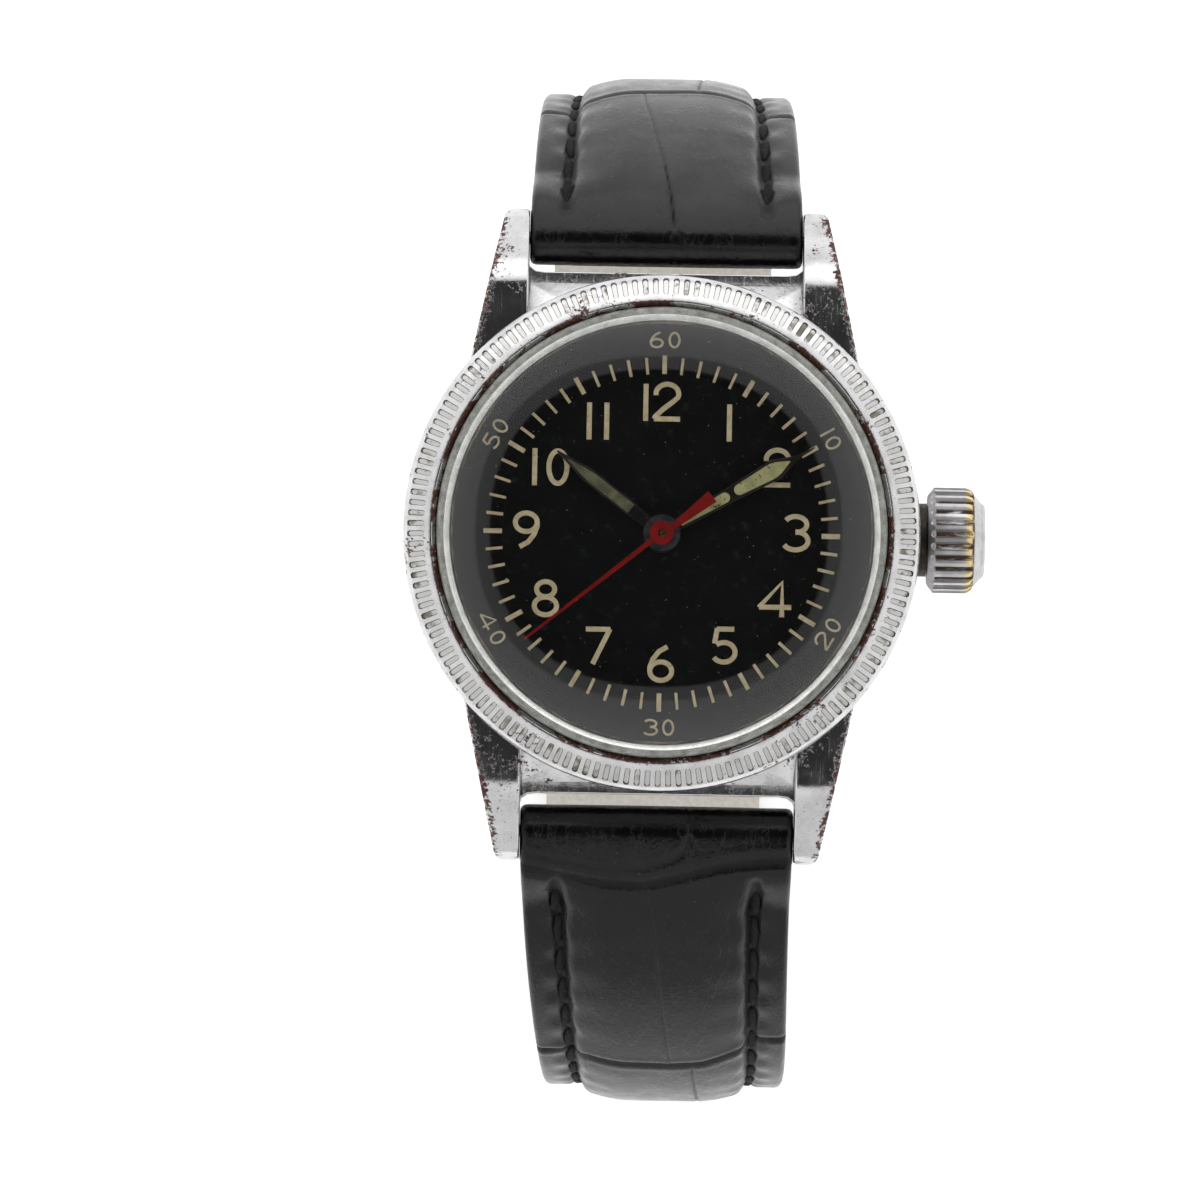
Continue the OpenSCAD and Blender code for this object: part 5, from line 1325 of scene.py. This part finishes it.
def makeKeeper(name, y):
    half, thick = keeper["half"], keeper["thick"]
    solids = []
    for grow, r in ((thick, keeper["round"]), (0, keeper["inner"])):
        outline = roundRect(half + grow, keeper["low"] - grow, keeper["top"] + grow, r)
        deep = keeper["wide"] + (0 if grow else 2)
        loop = drawOutline(name, [(x, y - deep / 2, z) for x, z in outline])
        pullOut(0, deep, 0)
        cleanMesh()
        solids.append(loop)
    joinSolids(solids[0], [solids[1]], "DIFFERENCE")
    addBevel(solids[0], keeper["bevel"], 3, 50)
    return solids[0]


keeperLook = softLook("keeperLeather", (0.0095, 0.0090, 0.0092), (0.0060, 0.0057, 0.0058), 0.35, 0.9, 0.02)
for name, y, body, node in keepers:
    loop = makeKeeper(name, y)
    finishPiece(loop, body, keeperLook, [node], 40)
print("keepers are made")


# Buckle: a bent frame with an eye at each end, and its tongue

buckle = {"inner": 7.45, "outer": 9.15, "eyeY": 1.0, "frontY": -10.0, "barY": -8.0, "z": -36.5, "thick": 1.7,
          "eyeR": 1.15, "barR": 0.61, "round": 1.9, "corner": 0.6, "bevel": 0.42, "tongueHalf": 0.7,
          "bossLong": 1.9, "tongueBevel": 0.16}


def makeBuckle():
    outer, inner = buckle["outer"], buckle["inner"]
    front, bar, r, corner = buckle["frontY"], buckle["barY"], buckle["round"], buckle["corner"]
    outline = [(outer, buckle["eyeY"])] + arc(outer - r, front + r, r, 0, -90, 8)
    outline += arc(-outer + r, front + r, r, -90, -180, 8)
    outline += [(-outer, buckle["eyeY"]), (-inner, buckle["eyeY"])]
    outline += arc(-inner + corner, bar + corner, corner, 180, 270, 5)
    outline += arc(inner - corner, bar + corner, corner, -90, 0, 5)
    outline += [(inner, buckle["eyeY"])]
    piece = makePlate("buckleFrame", outline, buckle["z"] - buckle["thick"] / 2, buckle["thick"], 0)
    eyes = []
    for side in (1, -1):
        place = (side * (outer + inner) / 2, buckle["eyeY"], buckle["z"])
        eyes.append(addCylinder(buckle["eyeR"], outer - inner, place, 40))
    joinSolids(piece, eyes)
    addBevel(piece, buckle["bevel"], 4, 50)
    cutHole(piece, buckle["barR"], 30, (0, buckle["eyeY"], buckle["z"]))
    return piece


def buckleWear(look):
    return times(look, patches(look, (3.0, 3), 0.45, 0.62), 0.4)


buckleLook = chromeLook("buckleChrome", buckleWear, 0.16, 0.60)
finishPiece(makeBuckle(), "buckle", buckleLook, ["buckle_frame"], 35)

bladeOutline = [(1.0, -37.64), (-9.9, -38.35), (-10.1, -38.1), (-10.12, -37.6), (-9.95, -37.44), (-7.9, -37.43),
                (-4.0, -37.12), (0, -36.8), (0.3, -36.9)]
blade = drawOutline("tongueBlade", [(-buckle["tongueHalf"], y, z) for y, z in bladeOutline])
pullOut(2 * buckle["tongueHalf"], 0, 0)
cleanMesh()
eyePlace = (0, buckle["eyeY"], buckle["z"])
joinSolids(blade, [addCylinder(buckle["eyeR"], buckle["bossLong"], eyePlace, 40)])
addBevel(blade, buckle["tongueBevel"], 3, 50)
cutHole(blade, buckle["barR"], 8, eyePlace)
finishPiece(blade, "tongue", buckleLook, ["buckle_tongue"], 35)
print("buckle is made")


# Case back: a snapped-on steel cap with six notches round its edge
backSteel = plainMetal("backSteel", (0.50, 0.495, 0.48), 0.30, 0.9)
back = spinPiece("caseBack", [(0, 0), (12.45, 0), (12.6, 0.03), (13.7, 0.28), (13.8, 0.32), (14.5, 0.70), (14.6, 0.80),
                              (14.6, 1.13), (14.55, 1.18), (13.74, 1.18), (13.74, 2.0), (12.9, 2.0), (12.9, 1.1),
                              (0, 1.1)], 160)
notch = {"size": (3.0, 2.0, 1.0), "r": 14.8, "z": 0.15}
for degrees in range(30, 360, 60):
    turn = math.radians(degrees)
    cutBox(back, notch["size"], (notch["r"] * math.cos(turn), notch["r"] * math.sin(turn), notch["z"]), turn)
finishPiece(back, "head", backSteel, ["case_back"], 30)
print("case back is made")


# Looks of the pieces that keep their construction shape

def stripedMetal(name, colour):
    look = plainMetal(name, colour, 0.28, 0.6)
    stripes = addNode(look, "ShaderNodeTexWave", {"Vector": objectPlace(look), "Scale": 160, "Distortion": 0.4})
    addBump(look, stripes.outputs[1], 0.01)
    return look


def jewelLook():
    look = newLook("rubyJewel", (0.30, 0.006, 0.03), 0.08, 0, {"Transmission Weight": 0.6, "IOR": 1.76})
    tone = patches(look, (0.4, 3), 0.3, 0.7)
    wire(look, "Base Color", mixColour(look, tone, (0.34, 0.006, 0.035), (0.24, 0.004, 0.02)))
    return look


slotLooks = {
    "seal_rubber": softLook("sealRubber", (0.02, 0.02, 0.02), (0.03, 0.03, 0.028), 0.7, 0.5),
    "spacer_steel": plainMetal("spacerSteel", (0.42, 0.41, 0.40), 0.35, 0.8),
    # Painted shade: the crown tube is coloured near black, for the shadow in the gap between the case and the crown
    "tube_brass": plainMetal("tubeBrassPaintedShade", (0.050, 0.043, 0.036), 0.5, 0.3),
    "movement_steel": plainMetal("movementSteel", (0.40, 0.40, 0.41), 0.24, 0.25),
    "screw_steel": plainMetal("screwSteel", (0.06, 0.08, 0.20), 0.22, 0.2),
    "spring_steel": plainMetal("springSteel", (0.10, 0.12, 0.22), 0.25, 0.3),
    "bridge_nickel": stripedMetal("bridgeNickel", (0.52, 0.50, 0.46)),
    "plate_gilt": plainMetal("plateGilt", (0.47, 0.37, 0.20), 0.34, 0.5),
    "wheel_brass": plainMetal("wheelBrass", (0.53, 0.38, 0.14), 0.26, 0.3),
    "jewel": jewelLook(),
    "bar_steel": plainMetal("barSteel", (0.30, 0.29, 0.28), 0.32, 0.3)}
for part in frame["record"]["subparts"]:
    if part["material_slot"] in slotLooks:
        dressNode(part["node"], slotLooks[part["material_slot"]])
print("construction pieces are dressed")
